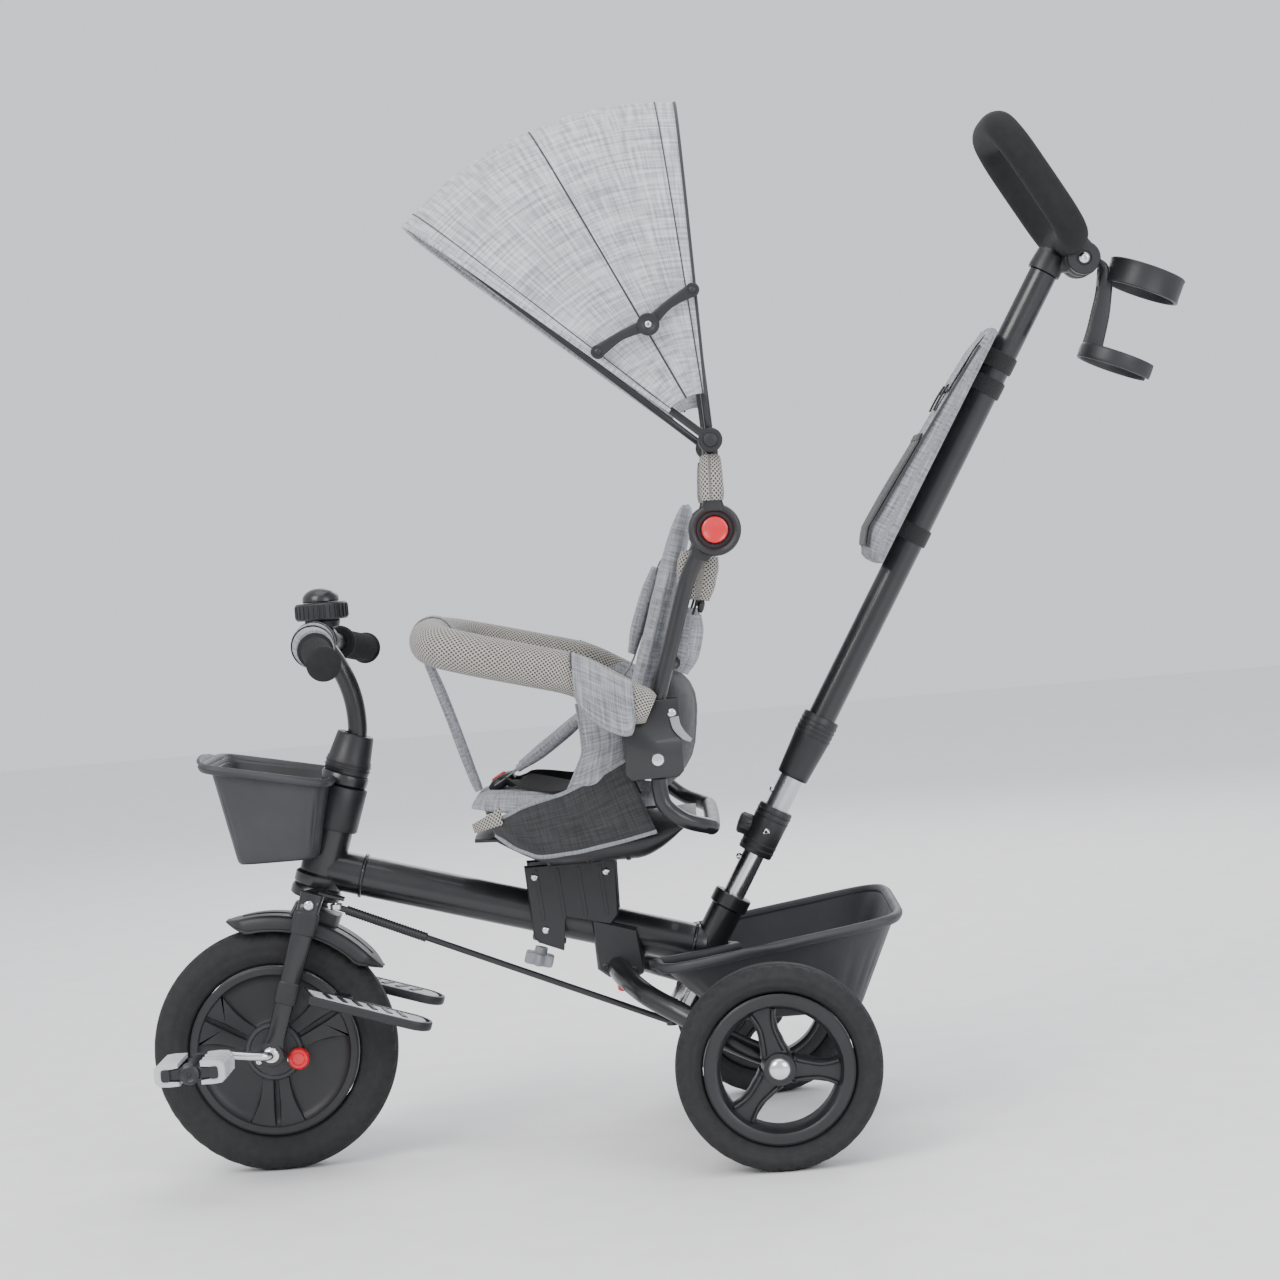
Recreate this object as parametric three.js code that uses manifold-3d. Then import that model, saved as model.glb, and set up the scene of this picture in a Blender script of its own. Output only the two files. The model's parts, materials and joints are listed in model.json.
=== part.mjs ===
// A pushed and pedalled children's tricycle with a parent handle, a reclining seat and a tilting sun hood.
// Millimetres, +Z up. X runs across the tricycle, +X being the child's left, and +Y runs towards its rear.
// Everything is laid out from the rear axle's place on the ground, and the group is centred at the end.
import * as THREE from "three";
import { ConvexGeometry } from "three/addons/geometries/ConvexGeometry.js";
import { mergeVertices } from "three/addons/utils/BufferGeometryUtils.js";
import Module from "manifold-3d";

const wasm = await Module();
wasm.setup();

// ---------------------------------------------------------------- driving dimensions
const gap = 0.35; // clearance between touching pieces
const wheelbase = 517;
const wheelSegments = 24;
const frontWheel = { radius: 127, width: 46, rimRadius: 88, spindle: 6 };
const rearWheel = { radius: 101.6, width: 46, rimRadius: 74, track: 410, spindle: 6 };
const steerLean = 19.1; // steering axis, degrees back from vertical
const pushLean = 31.1; // push bar, degrees back from vertical
const headTube = { radius: 22, wall: 5, low: 176, high: 297 }; // low and high lie up the steering axis
const behindFront = (distance) => distance - wheelbase; // a place measured back from the front axle
const mainTube = { radius: 21, start: behindFront(83), end: -62, frontHeight: 305, rearHeight: 195.52 };
const pushFoot = { y: -54.9, z: 202.8 }; // where the push bar's axis crosses the end of the main tube
const pushShaft = { radius: 11.5, low: -86, high: 104 };
const pushSocket = { wall: 5.15, low: -26, high: 52 };
pushSocket.radius = pushShaft.radius + gap + pushSocket.wall;
const pushLower = { radius: pushShaft.radius + 0.8, high: 430 };
const pushUpper = { wall: 2.1, low: 238, high: 770 };
pushUpper.radius = pushLower.radius + gap + pushUpper.wall;
const forkLeg = { offset: 40, thick: 11, width: 24 };
const fender = { inner: 139, outer: 143, halfWidth: 30, skirt: 16, front: 106, rear: 33 };
const handlebar = { radius: 10, halfWidth: 203, y: behindFront(80), z: 545, sweep: 28, drop: 17 };
const grip = { radius: 15, start: 105, end: 207 };
const bucket = { halfTop: 80, halfBottom: 58, wall: 3 };
const basket = { halfTop: 146, halfBottom: 98, wall: 3, floor: 130 };
const crank = { arm: 63, inner: 52, thick: 9, pedalIn: 110, pedalOut: 178 };
const footrest = { inner: 62, outer: 106, thick: 10, length: 140, slope: 18.5 };
const seat = { halfWidth: 118, cushionHalf: 108, rim: 356 };
const backrest = { tubeX: 140, tube: 8, cushionHalf: 116, lean: 18.2 };
const recline = { y: -93.4, z: 405 };
const safetyBar = { halfWidth: 150, radius: 21 };
const tiltJoint = { y: -18.8, z: 627, radius: 26, inner: 149, split: 160, outer: 171 };
const hub = { y: -16, z: 715, boss: 12, pin: 4, strutX: 152, rearX: 164, frontX: 173 };
const canopy = { rearAngle: 2.6, frontAngle: 48.3, rearRadius: 349, frontRadius: 384, halfWidth: 182 };
canopy.bow = 4;
canopy.cloth = 4;
const stay = { x: 187, thick: 4, disc: 7 };
const steeringRod = { radius: 3.5, lugX: 33, leverX: 55 };

// ---------------------------------------------------------------- vectors and axes
const rad = THREE.MathUtils.degToRad;
const v3 = (x, y, z) => new THREE.Vector3(x, y, z);
const facetApothem = (radius) => radius * Math.cos(Math.PI / wheelSegments);
const frontAxle = { y: -wheelbase, z: facetApothem(frontWheel.radius) };
const rearAxle = { y: 0, z: facetApothem(rearWheel.radius) };
const steerUp = v3(0, Math.sin(rad(steerLean)), Math.cos(rad(steerLean)));
const pushUp = v3(0, Math.sin(rad(pushLean)), Math.cos(rad(pushLean)));
const onSteering = (distance) => v3(0, frontAxle.y, frontAxle.z).addScaledVector(steerUp, distance);
const onPushBar = (distance) => v3(0, pushFoot.y, pushFoot.z).addScaledVector(pushUp, distance);
const mainTubeFall = (mainTube.frontHeight - mainTube.rearHeight) / (mainTube.end - mainTube.start);
const mainTubeAt = (y) => mainTube.frontHeight - (y - mainTube.start) * mainTubeFall;
const polar = (centre, radius, degreesForward) => ({
  y: centre.y - radius * Math.sin(rad(degreesForward)),
  z: centre.z + radius * Math.cos(rad(degreesForward)),
});

// ---------------------------------------------------------------- solids
function withPositionOnly(geometry) {
  const bare = geometry.clone();
  bare.deleteAttribute("normal");
  bare.deleteAttribute("uv");
  return bare;
}

function solid(geometry) {
  const merged = mergeVertices(withPositionOnly(geometry), 1e-3);
  const mesh = new wasm.Mesh({
    numProp: 3,
    vertProperties: merged.attributes.position.array,
    triVerts: new Uint32Array(merged.index.array),
  });
  return new wasm.Manifold(mesh);
}

function geometryOf(manifold) {
  const mesh = manifold.getMesh();
  return new THREE.BufferGeometry()
    .setAttribute("position", new THREE.BufferAttribute(mesh.vertProperties, 3))
    .setIndex(new THREE.BufferAttribute(mesh.triVerts, 1));
}

const join = (...pieces) => geometryOf(pieces.map(solid).reduce((all, one) => all.add(one)));
const cut = (body, ...tools) =>
  geometryOf(tools.map(solid).reduce((all, one) => all.subtract(one), solid(body)));
const keepInside = (body, bounds) => geometryOf(solid(body).intersect(solid(bounds)));

// A straight round bar from a to b, tapering from radius to endRadius.
function bar(a, b, radius, endRadius = radius, sides = 12) {
  const along = b.clone().sub(a);
  const geometry = new THREE.CylinderGeometry(endRadius, radius, along.length(), sides);
  const turn = new THREE.Quaternion().setFromUnitVectors(v3(0, 1, 0), along.clone().normalize());
  return geometry.applyQuaternion(turn).translate(...a.clone().add(b).multiplyScalar(0.5).toArray());
}

// A round disc or shaft across the tricycle.
const crossBar = (x0, x1, y, z, radius, sides = 12) =>
  bar(v3(x0, y, z), v3(x1, y, z), radius, radius, sides);

// A round tube swept along a smooth curve through the points.
function sweep(points, radius, steps, { sides = 8 } = {}) {
  const section = new THREE.Shape();
  section.absarc(0, 0, radius, 0, 2 * Math.PI);
  const path = new THREE.CatmullRomCurve3(points, false, "catmullrom", 0.5);
  return new THREE.ExtrudeGeometry(section, {
    steps,
    curveSegments: sides / 2,
    bevelEnabled: false,
    extrudePath: path,
  });
}

// A closed tube needs no seam, so two half sweeps overlap a little at both ends.
function ring(points, radius, steps, sides = 8) {
  const path = new THREE.CatmullRomCurve3(points, true, "catmullrom", 0.5);
  const half = (from, to) => {
    const place = (i) => path.getPoint((from + ((to - from) * i) / steps) % 1);
    return sweep(Array.from({ length: steps + 1 }, (_, i) => place(i)), radius, steps, { sides });
  };
  return join(half(0, 0.52), half(0.5, 1.02));
}

// An outline in the side plane, listed as [y, z] pairs, extruded across the tricycle from x0 to x1.
function sidePlate(outline, x0, x1, bevel = 0) {
  const shape = new THREE.Shape(outline.map(([y, z]) => new THREE.Vector2(y, z)));
  return extrudeAcross(shape, x0, x1, bevel);
}

function extrudeAcross(shape, x0, x1, bevel = 0) {
  const geometry = new THREE.ExtrudeGeometry(shape, {
    depth: x1 - x0 - 2 * bevel,
    bevelEnabled: bevel > 0,
    bevelThickness: bevel,
    bevelSize: bevel,
    bevelOffset: -bevel,
    bevelSegments: 2,
    curveSegments: 7,
  });
  const across = new THREE.Matrix4().makeBasis(v3(0, 1, 0), v3(0, 0, 1), v3(1, 0, 0));
  return geometry.applyMatrix4(across).translate(x0 + bevel, 0, 0);
}

// A profile of [radius, x] pairs turned about an axis across the tricycle.
function turned(profile, y, z, segments = wheelSegments) {
  const points = profile.map(([r, x]) => new THREE.Vector2(r, x));
  const geometry = new THREE.LatheGeometry(points, segments, Math.PI / segments);
  return geometry.rotateZ(-Math.PI / 2).translate(0, y, z);
}

// A profile of [radius, distance] pairs turned about an axis that starts at a point.
function turnedAlong(profile, from, axis, segments = 16) {
  const points = profile.map(([r, d]) => new THREE.Vector2(r, d));
  const turn = new THREE.Quaternion().setFromUnitVectors(v3(0, 1, 0), axis);
  return new THREE.LatheGeometry(points, segments).applyQuaternion(turn).translate(...from.toArray());
}

function sleeve(from, axis, low, high, inner, outer, segments = 16) {
  const profile = [[inner, low], [outer, low], [outer, high], [inner, high], [inner, low]];
  return turnedAlong(profile, from, axis, segments);
}

const box = (x0, x1, y0, y1, z0, z1) =>
  new THREE.BoxGeometry(x1 - x0, y1 - y0, z1 - z0).translate((x0 + x1) / 2, (y0 + y1) / 2, (z0 + z1) / 2);

function mirrored(geometry) {
  const copy = mergeVertices(withPositionOnly(geometry), 1e-3).scale(-1, 1, 1);
  const corners = copy.index.array;
  for (let i = 0; i < corners.length; i += 3) {
    const second = corners[i + 1];
    corners[i + 1] = corners[i + 2];
    corners[i + 2] = second;
  }
  return copy;
}

// ---------------------------------------------------------------- finishes
const finishes = {
  frame_black: { color: 0x141416, roughness: 0.42, metalness: 0.3 },
  plastic_black: { color: 0x17171a, roughness: 0.55, metalness: 0 },
  tyre_black: { color: 0x1c1c1e, roughness: 0.85, metalness: 0 },
  foam_black: { color: 0x0f0f11, roughness: 0.95, metalness: 0 },
  steel: { color: 0xc4c6c9, roughness: 0.28, metalness: 1 },
  plastic_grey: { color: 0x97999d, roughness: 0.6, metalness: 0 },
  plastic_red: { color: 0xd71e23, roughness: 0.4, metalness: 0 },
  fabric_grey: { color: 0x96989e, roughness: 0.95, metalness: 0 },
  mesh_beige: { color: 0xaaa09b, roughness: 0.95, metalness: 0 },
  fabric_black: { color: 0x141416, roughness: 0.95, metalness: 0 },
};

const tricycle = new THREE.Group();
function piece(name, finish, geometry) {
  const mesh = new THREE.Mesh(geometry, new THREE.MeshStandardMaterial(finishes[finish]));
  mesh.name = name;
  tricycle.add(mesh);
}
function pair(name, finish, leftGeometry) {
  piece(name + "_left", finish, leftGeometry);
  piece(name + "_right", finish, mirrored(leftGeometry));
}

// ---------------------------------------------------------------- frame
// A many-sided bore that a round piece of this radius can turn in.
const roundBore = (radius, sides) => radius / Math.cos(Math.PI / sides);

function mainFrame() {
  const tubeFront = v3(0, mainTube.start, mainTube.frontHeight);
  const tubeRear = v3(0, mainTube.end, mainTubeAt(mainTube.end));
  const head = bar(onSteering(headTube.low), onSteering(headTube.high), headTube.radius, undefined, 20);
  const boreRadius = roundBore(headTube.radius - headTube.wall, 20);
  const { low, high } = headTube;
  const boreTool = bar(onSteering(low - 5), onSteering(high + 5), boreRadius, undefined, 20);
  const { low: socketLow, high: socketHigh } = pushSocket;
  const socket = bar(onPushBar(socketLow), onPushBar(socketHigh), pushSocket.radius, undefined, 20);
  const collar = bar(onPushBar(pushSocket.high - 14), onPushBar(pushSocket.high), pushSocket.radius + 3);
  const socketRadius = roundBore(pushShaft.radius + gap, 12);
  const socketBore = bar(onPushBar(pushSocket.low - 20), onPushBar(pushSocket.high + 20), socketRadius);
  const body = join(bar(tubeFront, tubeRear, mainTube.radius, mainTube.radius, 20), head, socket, collar);
  const crownSpace = bar(onSteering(headTube.low - 40), onSteering(headTube.low), headTube.radius + 12);
  return cut(body, boreTool, socketBore, crownSpace);
}

const housing = { front: -176, rear: -132, half: 30, drop: 62 };
function rearJointHousing() {
  const outline = [
    [housing.front, mainTubeAt(housing.front)],
    [housing.rear, mainTubeAt(housing.rear)],
    [housing.rear + 6, mainTubeAt(housing.rear) - housing.drop + 14],
    [housing.rear - 8, mainTubeAt(housing.rear) - housing.drop],
    [housing.front + 12, mainTubeAt(housing.front) - housing.drop],
    [housing.front, mainTubeAt(housing.front) - housing.drop + 12],
  ];
  const tube = bar(
    v3(0, housing.front - 40, mainTubeAt(housing.front - 40)),
    v3(0, housing.rear + 40, mainTubeAt(housing.rear + 40)),
    mainTube.radius + gap,
    mainTube.radius + gap,
    20,
  );
  const buttonWell = bar(
    v3(0, releaseButton.y, releaseButton.z - 20),
    v3(0, releaseButton.y, releaseButton.z + 9),
    releaseButton.radius + gap,
  );
  const block = sidePlate(outline, -housing.half, housing.half, 4);
  return cut(block, tube, buttonWell, rearForkTube(rearFork.radius + gap));
}

const releaseButton = { y: -150, z: mainTubeAt(-150) - 60, radius: 7, length: 12 };
const rearFork = { radius: 11, half: 164, eye: 13 };
const forkMiddle = v3(0, -154, mainTubeAt(-154) - mainTube.radius - rearFork.radius - 4.6);
function rearForkTube(radius) {
  const left = [
    v3(rearFork.half, -8, rearAxle.z + 3),
    v3(rearFork.half - 4, -50, rearAxle.z + 24),
    v3(142, -92, 150),
    v3(104, -130, 170),
    v3(52, -150, forkMiddle.z - 4),
  ];
  const right = left.map((point) => v3(-point.x, point.y, point.z)).reverse();
  return sweep([...left, forkMiddle, ...right], radius, 18);
}

function rearForkPiece() {
  const eye = (x) => crossBar(x - 7, x + 7, rearAxle.y, rearAxle.z, rearFork.eye);
  const axleBore = crossBar(-200, 200, rearAxle.y, rearAxle.z, rearWheel.spindle + gap);
  return cut(join(rearForkTube(rearFork.radius), eye(rearFork.half), eye(-rearFork.half)), axleBore);
}

const rearHalfTrack = rearWheel.track / 2;
const axleEnd = rearHalfTrack + rearWheel.width / 2 - 2;
function rearAxlePiece() {
  return crossBar(-axleEnd, axleEnd, rearAxle.y, rearAxle.z, rearWheel.spindle);
}

// ---------------------------------------------------------------- wheels
function tyreProfile(wheel) {
  const half = wheel.width / 2;
  const shoulder = wheel.radius - 13;
  const flat = half * 0.36;
  return [
    [wheel.rimRadius + gap, -half + 6],
    [wheel.rimRadius + 8, -half + 1],
    [shoulder - 6, -half],
    [shoulder + 6, -half + 4],
    [wheel.radius, -flat],
    [wheel.radius, flat],
    [shoulder + 6, half - 4],
    [shoulder - 6, half],
    [wheel.rimRadius + 8, half - 1],
    [wheel.rimRadius + gap, half - 6],
    [wheel.rimRadius + gap, -half + 6],
  ];
}

const tyre = (wheel, axle) => turned(tyreProfile(wheel), axle.y, axle.z);

function frontRim() {
  const bore = frontWheel.spindle + gap;
  const edge = frontWheel.rimRadius;
  const profile = [
    [bore, -24], [29, -24], [31, -14], [edge, -17],
    [edge, 17], [31, 14], [29, 24], [bore, 24], [bore, -24],
  ];
  const disc = turned(profile, frontAxle.y, frontAxle.z);
  const clutchBore = crossBar(10, 40, clutch.y, clutch.z, clutch.radius + gap);
  return cut(disc, clutchBore);
}

const clutch = { y: frontAxle.y + 24, z: frontAxle.z - 9, radius: 5.5 };
function clutchKnob() {
  const stem = crossBar(11, 28, clutch.y, clutch.z, clutch.radius);
  const wing = box(24.5, 30.5, clutch.y - 10, clutch.y + 13, clutch.z - 4, clutch.z + 4);
  return join(stem, wing);
}

const spokeWindow = { count: 3, inner: 30, outer: 64, spread: 38, first: 43 };
function spokeOpening(turn) {
  const shape = new THREE.Shape();
  const half = rad(spokeWindow.spread);
  const innerHalf = rad(spokeWindow.spread - 12);
  shape.absarc(0, 0, spokeWindow.outer, turn - half, turn + half, false);
  shape.absarc(0, 0, spokeWindow.inner, turn + innerHalf, turn - innerHalf, true);
  return extrudeAcross(shape, -40, 40).translate(0, rearAxle.y, rearAxle.z);
}

function rearRim() {
  const bore = rearWheel.spindle + gap;
  const edge = rearWheel.rimRadius;
  const profile = [
    [bore, -22], [20, -22], [21, -12], [edge, -16],
    [edge, 16], [21, 12], [20, 22], [bore, 22], [bore, -22],
  ];
  const disc = turned(profile, rearAxle.y, rearAxle.z);
  const turns = Array.from({ length: spokeWindow.count }, (_, i) => rad(spokeWindow.first + (i * 360) / 3));
  return cut(disc, ...turns.map(spokeOpening)).translate(rearHalfTrack, 0, 0);
}

function brakePedal() {
  const x = -rearFork.half + 30;
  const eye = crossBar(x - 12, x + 12, rearAxle.y, rearAxle.z, 16);
  const lever = sidePlate([
    [0, rearAxle.z + 12], [52, rearAxle.z + 16], [74, rearAxle.z + 10],
    [74, rearAxle.z + 2], [50, rearAxle.z + 5], [0, rearAxle.z - 12],
  ], x - 9, x + 9);
  const bore = crossBar(x - 30, x + 30, rearAxle.y, rearAxle.z, rearWheel.spindle + gap);
  return cut(join(eye, lever), bore);
}

// ---------------------------------------------------------------- steering
function frontFork() {
  const crownLow = 163;
  const crownHigh = headTube.low - gap;
  const crownTop = bar(onSteering(crownHigh - 6), onSteering(crownHigh), headTube.radius + 2, undefined, 20);
  const steererRadius = headTube.radius - headTube.wall - gap;
  const steerer = bar(onSteering(crownHigh - 4), onSteering(headTube.high + 6), steererRadius);
  const turnBack = new THREE.Matrix4().makeRotationX(-rad(steerLean));
  const atCrown = onSteering(0);
  const inForkFrame = (geometry) => geometry.applyMatrix4(turnBack).translate(...atCrown.toArray());
  const legOut = forkLeg.offset + forkLeg.thick / 2;
  const legIn = forkLeg.offset - forkLeg.thick / 2;
  const bridge = inForkFrame(box(-legOut, legOut, -14, 14, crownLow, crownHigh - 1));
  const leg = () => inForkFrame(box(legIn, legOut, -forkLeg.width / 2, forkLeg.width / 2, 0, crownHigh - 1));
  const foot = crossBar(legIn, legOut, frontAxle.y, frontAxle.z, forkLeg.width / 2 + 1);
  const { lugX } = steeringRod;
  const lug = inForkFrame(box(lugX - 9, lugX + 9, 8, 34, crownHigh - 5, crownHigh - 1));
  const spindleBore = crossBar(-80, 80, frontAxle.y, frontAxle.z, frontWheel.spindle + gap);
  const stemSpace = handlebar.radius + 2 * gap;
  const stemBore = bar(onSteering(headTube.high - 40), onSteering(headTube.high + 40), stemSpace);
  const body = join(bridge, crownTop, steerer, leg(), mirrored(leg()), foot, mirrored(foot), lug,
    footrestArm(), mirrored(footrestArm()));
  return cut(body, spindleBore, stemBore);
}

const stemFoot = onSteering(headTube.high - 30);
function handlebarPiece() {
  const stem = sweep([
    stemFoot, onSteering(headTube.high - 10), onSteering(headTube.high + 10),
    v3(0, handlebar.y + 31.5, 440),
    v3(0, handlebar.y + 33, 470), v3(0, handlebar.y + 27, 500), v3(0, handlebar.y + 13, 530),
    v3(0, handlebar.y, handlebar.z),
  ], handlebar.radius, 13);
  return join(stem, handlebarTube(handlebar.radius));
}

// The bar's middle is straight and its two ends sweep back and down.
const handlebarMiddle = 60;
function handlebarAt(x) {
  const share = Math.max(0, Math.abs(x) - handlebarMiddle) / (handlebar.halfWidth - handlebarMiddle);
  return v3(x, handlebar.y + handlebar.sweep * share, handlebar.z - handlebar.drop * share);
}

function handlebarTube(radius, half = handlebar.halfWidth) {
  const stops = [-1, -0.66, -0.3, 0, 0.3, 0.66, 1].map((share) => handlebarAt(share * half));
  return sweep(stops, radius, 9);
}

// The space round the bar between two places across the tricycle.
const aroundHandlebar = (x0, x1) =>
  box(x0, x1, handlebar.y - 150, handlebar.y + 150, handlebar.z - 150, handlebar.z + 150);

function stemCover() {
  const low = headTube.high + gap;
  const high = headTube.high + 42;
  const inner = headTube.radius - headTube.wall + gap;
  const profile = [[inner, low], [headTube.radius + 1, low], [headTube.radius + 1, low + 16],
    [headTube.radius - 3.5, high], [inner, high], [inner, low]];
  return turnedAlong(profile, onSteering(0), steerUp);
}

function gripLeft() {
  const sleeveTube = keepInside(handlebarTube(grip.radius, handlebar.halfWidth + 30),
    aroundHandlebar(grip.start, grip.end));
  const collar = (x0, x1, radius) => bar(handlebarAt(x0), handlebarAt(x1), radius);
  const end = collar(grip.end - 6, grip.end + 1, grip.radius + 2.5);
  const flange = collar(grip.start - 1, grip.start + 6, grip.radius + 4);
  return cut(join(sleeveTube, end, flange), handlebarTube(handlebar.radius + gap));
}

const bell = { x: -55, y: handlebar.y, z: handlebar.z };
function bellPiece() {
  const at = (z) => v3(bell.x, bell.y, bell.z + z);
  const clamp = crossBar(bell.x - 9, bell.x + 9, bell.y, bell.z, handlebar.radius + 5);
  const base = bar(at(12), at(21), 15, 19);
  const post = bar(at(18), at(42), 7);
  const domeProfile = [[0, 40], [19, 40], [19, 46], [15, 51.5], [8, 54], [0, 54.5]];
  const dome = turnedAlong(domeProfile, v3(bell.x, bell.y, bell.z), v3(0, 0, 1));
  return cut(join(clamp, base, post, dome), handlebarTube(handlebar.radius + gap));
}

function bellRing() {
  const centre = v3(bell.x, bell.y, bell.z);
  const ribs = Array.from({ length: 8 }, (_, i) => {
    const turn = (i * Math.PI) / 4;
    const foot = v3(bell.x + 24 * Math.cos(turn), bell.y + 24 * Math.sin(turn), bell.z + 24);
    return bar(foot, foot.clone().add(v3(0, 0, 13)), 3.5, 3.5, 6);
  });
  return join(sleeve(centre, v3(0, 0, 1), 21 + gap, 39.5, 7 + gap, 24), ...ribs);
}

function handlebarPad() {
  const outer = keepInside(handlebarTube(21), aroundHandlebar(14, 98));
  return cut(outer, handlebarTube(handlebar.radius + gap));
}

function fenderPiece() {
  const shape = new THREE.Shape();
  const start = rad(fender.rear);
  const end = rad(fender.front);
  shape.absarc(0, 0, fender.outer, start, end, false);
  shape.absarc(0, 0, fender.inner, end, start, true);
  const roof = extrudeAcross(shape, -fender.halfWidth, fender.halfWidth);
  const skirtShape = new THREE.Shape();
  const skirtStart = rad(fender.rear + 6);
  const skirtEnd = rad(fender.front - 12);
  skirtShape.absarc(0, 0, fender.outer - 1, skirtStart, skirtEnd, false);
  skirtShape.absarc(0, 0, fender.inner - fender.skirt, skirtEnd - 0.15, skirtStart + 0.1, true);
  const skirt = extrudeAcross(skirtShape, fender.halfWidth - 2, fender.halfWidth);
  const boss = sidePlate([[26, 139], [74, 120], [80, 134], [34, 152]], -16, 16);
  return join(roof, skirt, mirrored(skirt), boss).translate(0, frontAxle.y, frontAxle.z);
}

const footrestFront = { y: behindFront(40), z: 197 };
function footrestLeft() {
  const shape = new THREE.Shape();
  const { inner, outer, length } = footrest;
  const middle = (inner + outer) / 2;
  const round = (outer - inner) / 2;
  shape.moveTo(inner, 0);
  shape.lineTo(outer, 14);
  shape.lineTo(outer, length - round);
  shape.absarc(middle, length - round, round, 0, Math.PI, false);
  shape.lineTo(inner, 0);
  const plate = new THREE.ExtrudeGeometry(shape, {
    depth: footrest.thick - 4,
    bevelThickness: 2,
    bevelSize: 2,
    bevelOffset: -2,
    bevelSegments: 1,
    curveSegments: 8,
  }).translate(0, 0, 2 - footrest.thick);
  const rib = box(inner, outer - 12, 24, 32, -footrest.thick - 4, -footrest.thick + 2);
  return join(plate, rib).rotateX(-rad(footrest.slope)).translate(0, footrestFront.y, footrestFront.z);
}

const footArm = { front: behindFront(65), rear: behindFront(87), low: 170, high: 182 };
function footrestArm() {
  const legIn = forkLeg.offset - forkLeg.thick / 2;
  const legOut = forkLeg.offset + forkLeg.thick / 2;
  const { front, rear, low, high } = footArm;
  const along = box(legIn, legOut, front - 48, rear, low, high);
  const across = box(legOut - 2, footrest.inner - gap, front, rear, low, high);
  return join(along, across);
}

const rodFront = v3(steeringRod.lugX, behindFront(79), 272);
const rodRear = v3(steeringRod.leverX, -102, 128);
const leverRise = { low: 11, high: 17 }; // how far the push bar's lever sits above the rod's rear eye
function steeringRodPiece() {
  const eye = bar(rodFront.clone().add(v3(0, 0, -3)), rodFront.clone().add(v3(0, 0, 3)), 6.5);
  const rearEye = bar(rodRear.clone().add(v3(0, 0, -3)), rodRear.clone().add(v3(0, 0, 3)), 6.5);
  return join(bar(rodFront, rodRear, steeringRod.radius, undefined, 10), eye, rearEye);
}

// ---------------------------------------------------------------- pedals
const crankEnd = (side) => ({ y: frontAxle.y - side * crank.arm, z: frontAxle.z + side * 9 });
function pedalCrank() {
  const spindle = crossBar(-crank.inner - 4, crank.inner + 4, frontAxle.y, frontAxle.z, frontWheel.spindle);
  const arm = (side) => {
    const x0 = side > 0 ? crank.inner : -crank.inner - crank.thick;
    const end = crankEnd(side);
    const web = sidePlate([
      [frontAxle.y, frontAxle.z + 8], [frontAxle.y, frontAxle.z - 8], [end.y, end.z - 7], [end.y, end.z + 7],
    ], x0, x0 + crank.thick);
    const boss = crossBar(x0, x0 + crank.thick, frontAxle.y, frontAxle.z, 10);
    const eye = crossBar(x0, x0 + crank.thick, end.y, end.z, 9);
    const far = side > 0 ? crank.pedalOut - 4 : -crank.pedalOut + 4;
    const pin = crossBar(Math.min(x0, far), Math.max(x0, far), end.y, end.z, 4);
    return join(web, boss, eye, pin);
  };
  return join(spindle, arm(1), arm(-1));
}

function pedal(side) {
  const end = crankEnd(side);
  const block = sidePlate([
    [end.y - 36, end.z - 5], [end.y - 20, end.z - 12], [end.y + 20, end.z - 12], [end.y + 36, end.z - 5],
    [end.y + 36, end.z + 5], [end.y + 20, end.z + 12], [end.y - 20, end.z + 12], [end.y - 36, end.z + 5],
  ], crank.pedalIn, crank.pedalOut, 3);
  const bore = crossBar(crank.pedalIn - 9, crank.pedalOut - 3, end.y, end.z, 4 + gap);
  const left = cut(block, bore);
  return side > 0 ? left : mirrored(left);
}

// ---------------------------------------------------------------- buckets
const sectionPoints = (halfWidth, yFront, yRear, zFront, zRear, corner) => {
  const points = [];
  const corners = [
    [1, yRear, zRear, 0], [-1, yRear, zRear, 90], [-1, yFront, zFront, 180], [1, yFront, zFront, 270],
  ];
  for (const [side, y, z, start] of corners) {
    const cx = side * (halfWidth - corner);
    const cy = y + (y === yRear ? -corner : corner);
    for (const turn of [0, 30, 60, 90]) {
      const a = rad(start + turn);
      points.push(v3(cx + corner * Math.cos(a), cy + corner * Math.sin(a), z));
    }
  }
  return points;
};

function tub(top, bottom, wall) {
  const outer = new ConvexGeometry([...sectionPoints(...top), ...sectionPoints(...bottom)]);
  const [tw, tf, tr, tzf, tzr, tc] = top;
  const [bw, bf, br, bzf, bzr, bc] = bottom;
  const innerTop = [tw - wall, tf + wall, tr - wall, tzf + 30, tzr + 30, tc];
  const innerMid = [tw - wall, tf + wall, tr - wall, tzf, tzr, tc];
  const innerBottom = [bw - wall, bf + wall, br - wall, bzf + wall, bzr + wall, bc];
  const innerSections = [innerTop, innerMid, innerBottom];
  const inner = new ConvexGeometry(innerSections.flatMap((one) => sectionPoints(...one)));
  return cut(outer, inner);
}

const bucketTop = [bucket.halfTop - 5, behindFront(-35), behindFront(83), 424, 402, 26];
const bucketBottom = [bucket.halfBottom, behindFront(-17), behindFront(65), 324, 324, 20];
const bucketRim = [bucket.halfTop, behindFront(-43), behindFront(87), 429, 402, 26];
function frontBucket() {
  const shell = tub(bucketTop, bucketBottom, bucket.wall);
  const rim = ring(sectionPoints(...bucketRim), 5, 10, 6);
  const bracket = sidePlate([
    [behindFront(77), 398], [behindFront(117), 386], [behindFront(111), 360], [behindFront(73), 366],
  ], -12, 12);
  const collar = sleeve(onSteering(0), steerUp, 238, 284, headTube.radius + 3 * gap, headTube.radius + 4);
  const headClear = bar(onSteering(140), onSteering(340), headTube.radius + 2 * gap, undefined, 20);
  return join(cut(join(shell, rim, bracket), headClear), collar);
}

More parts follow.
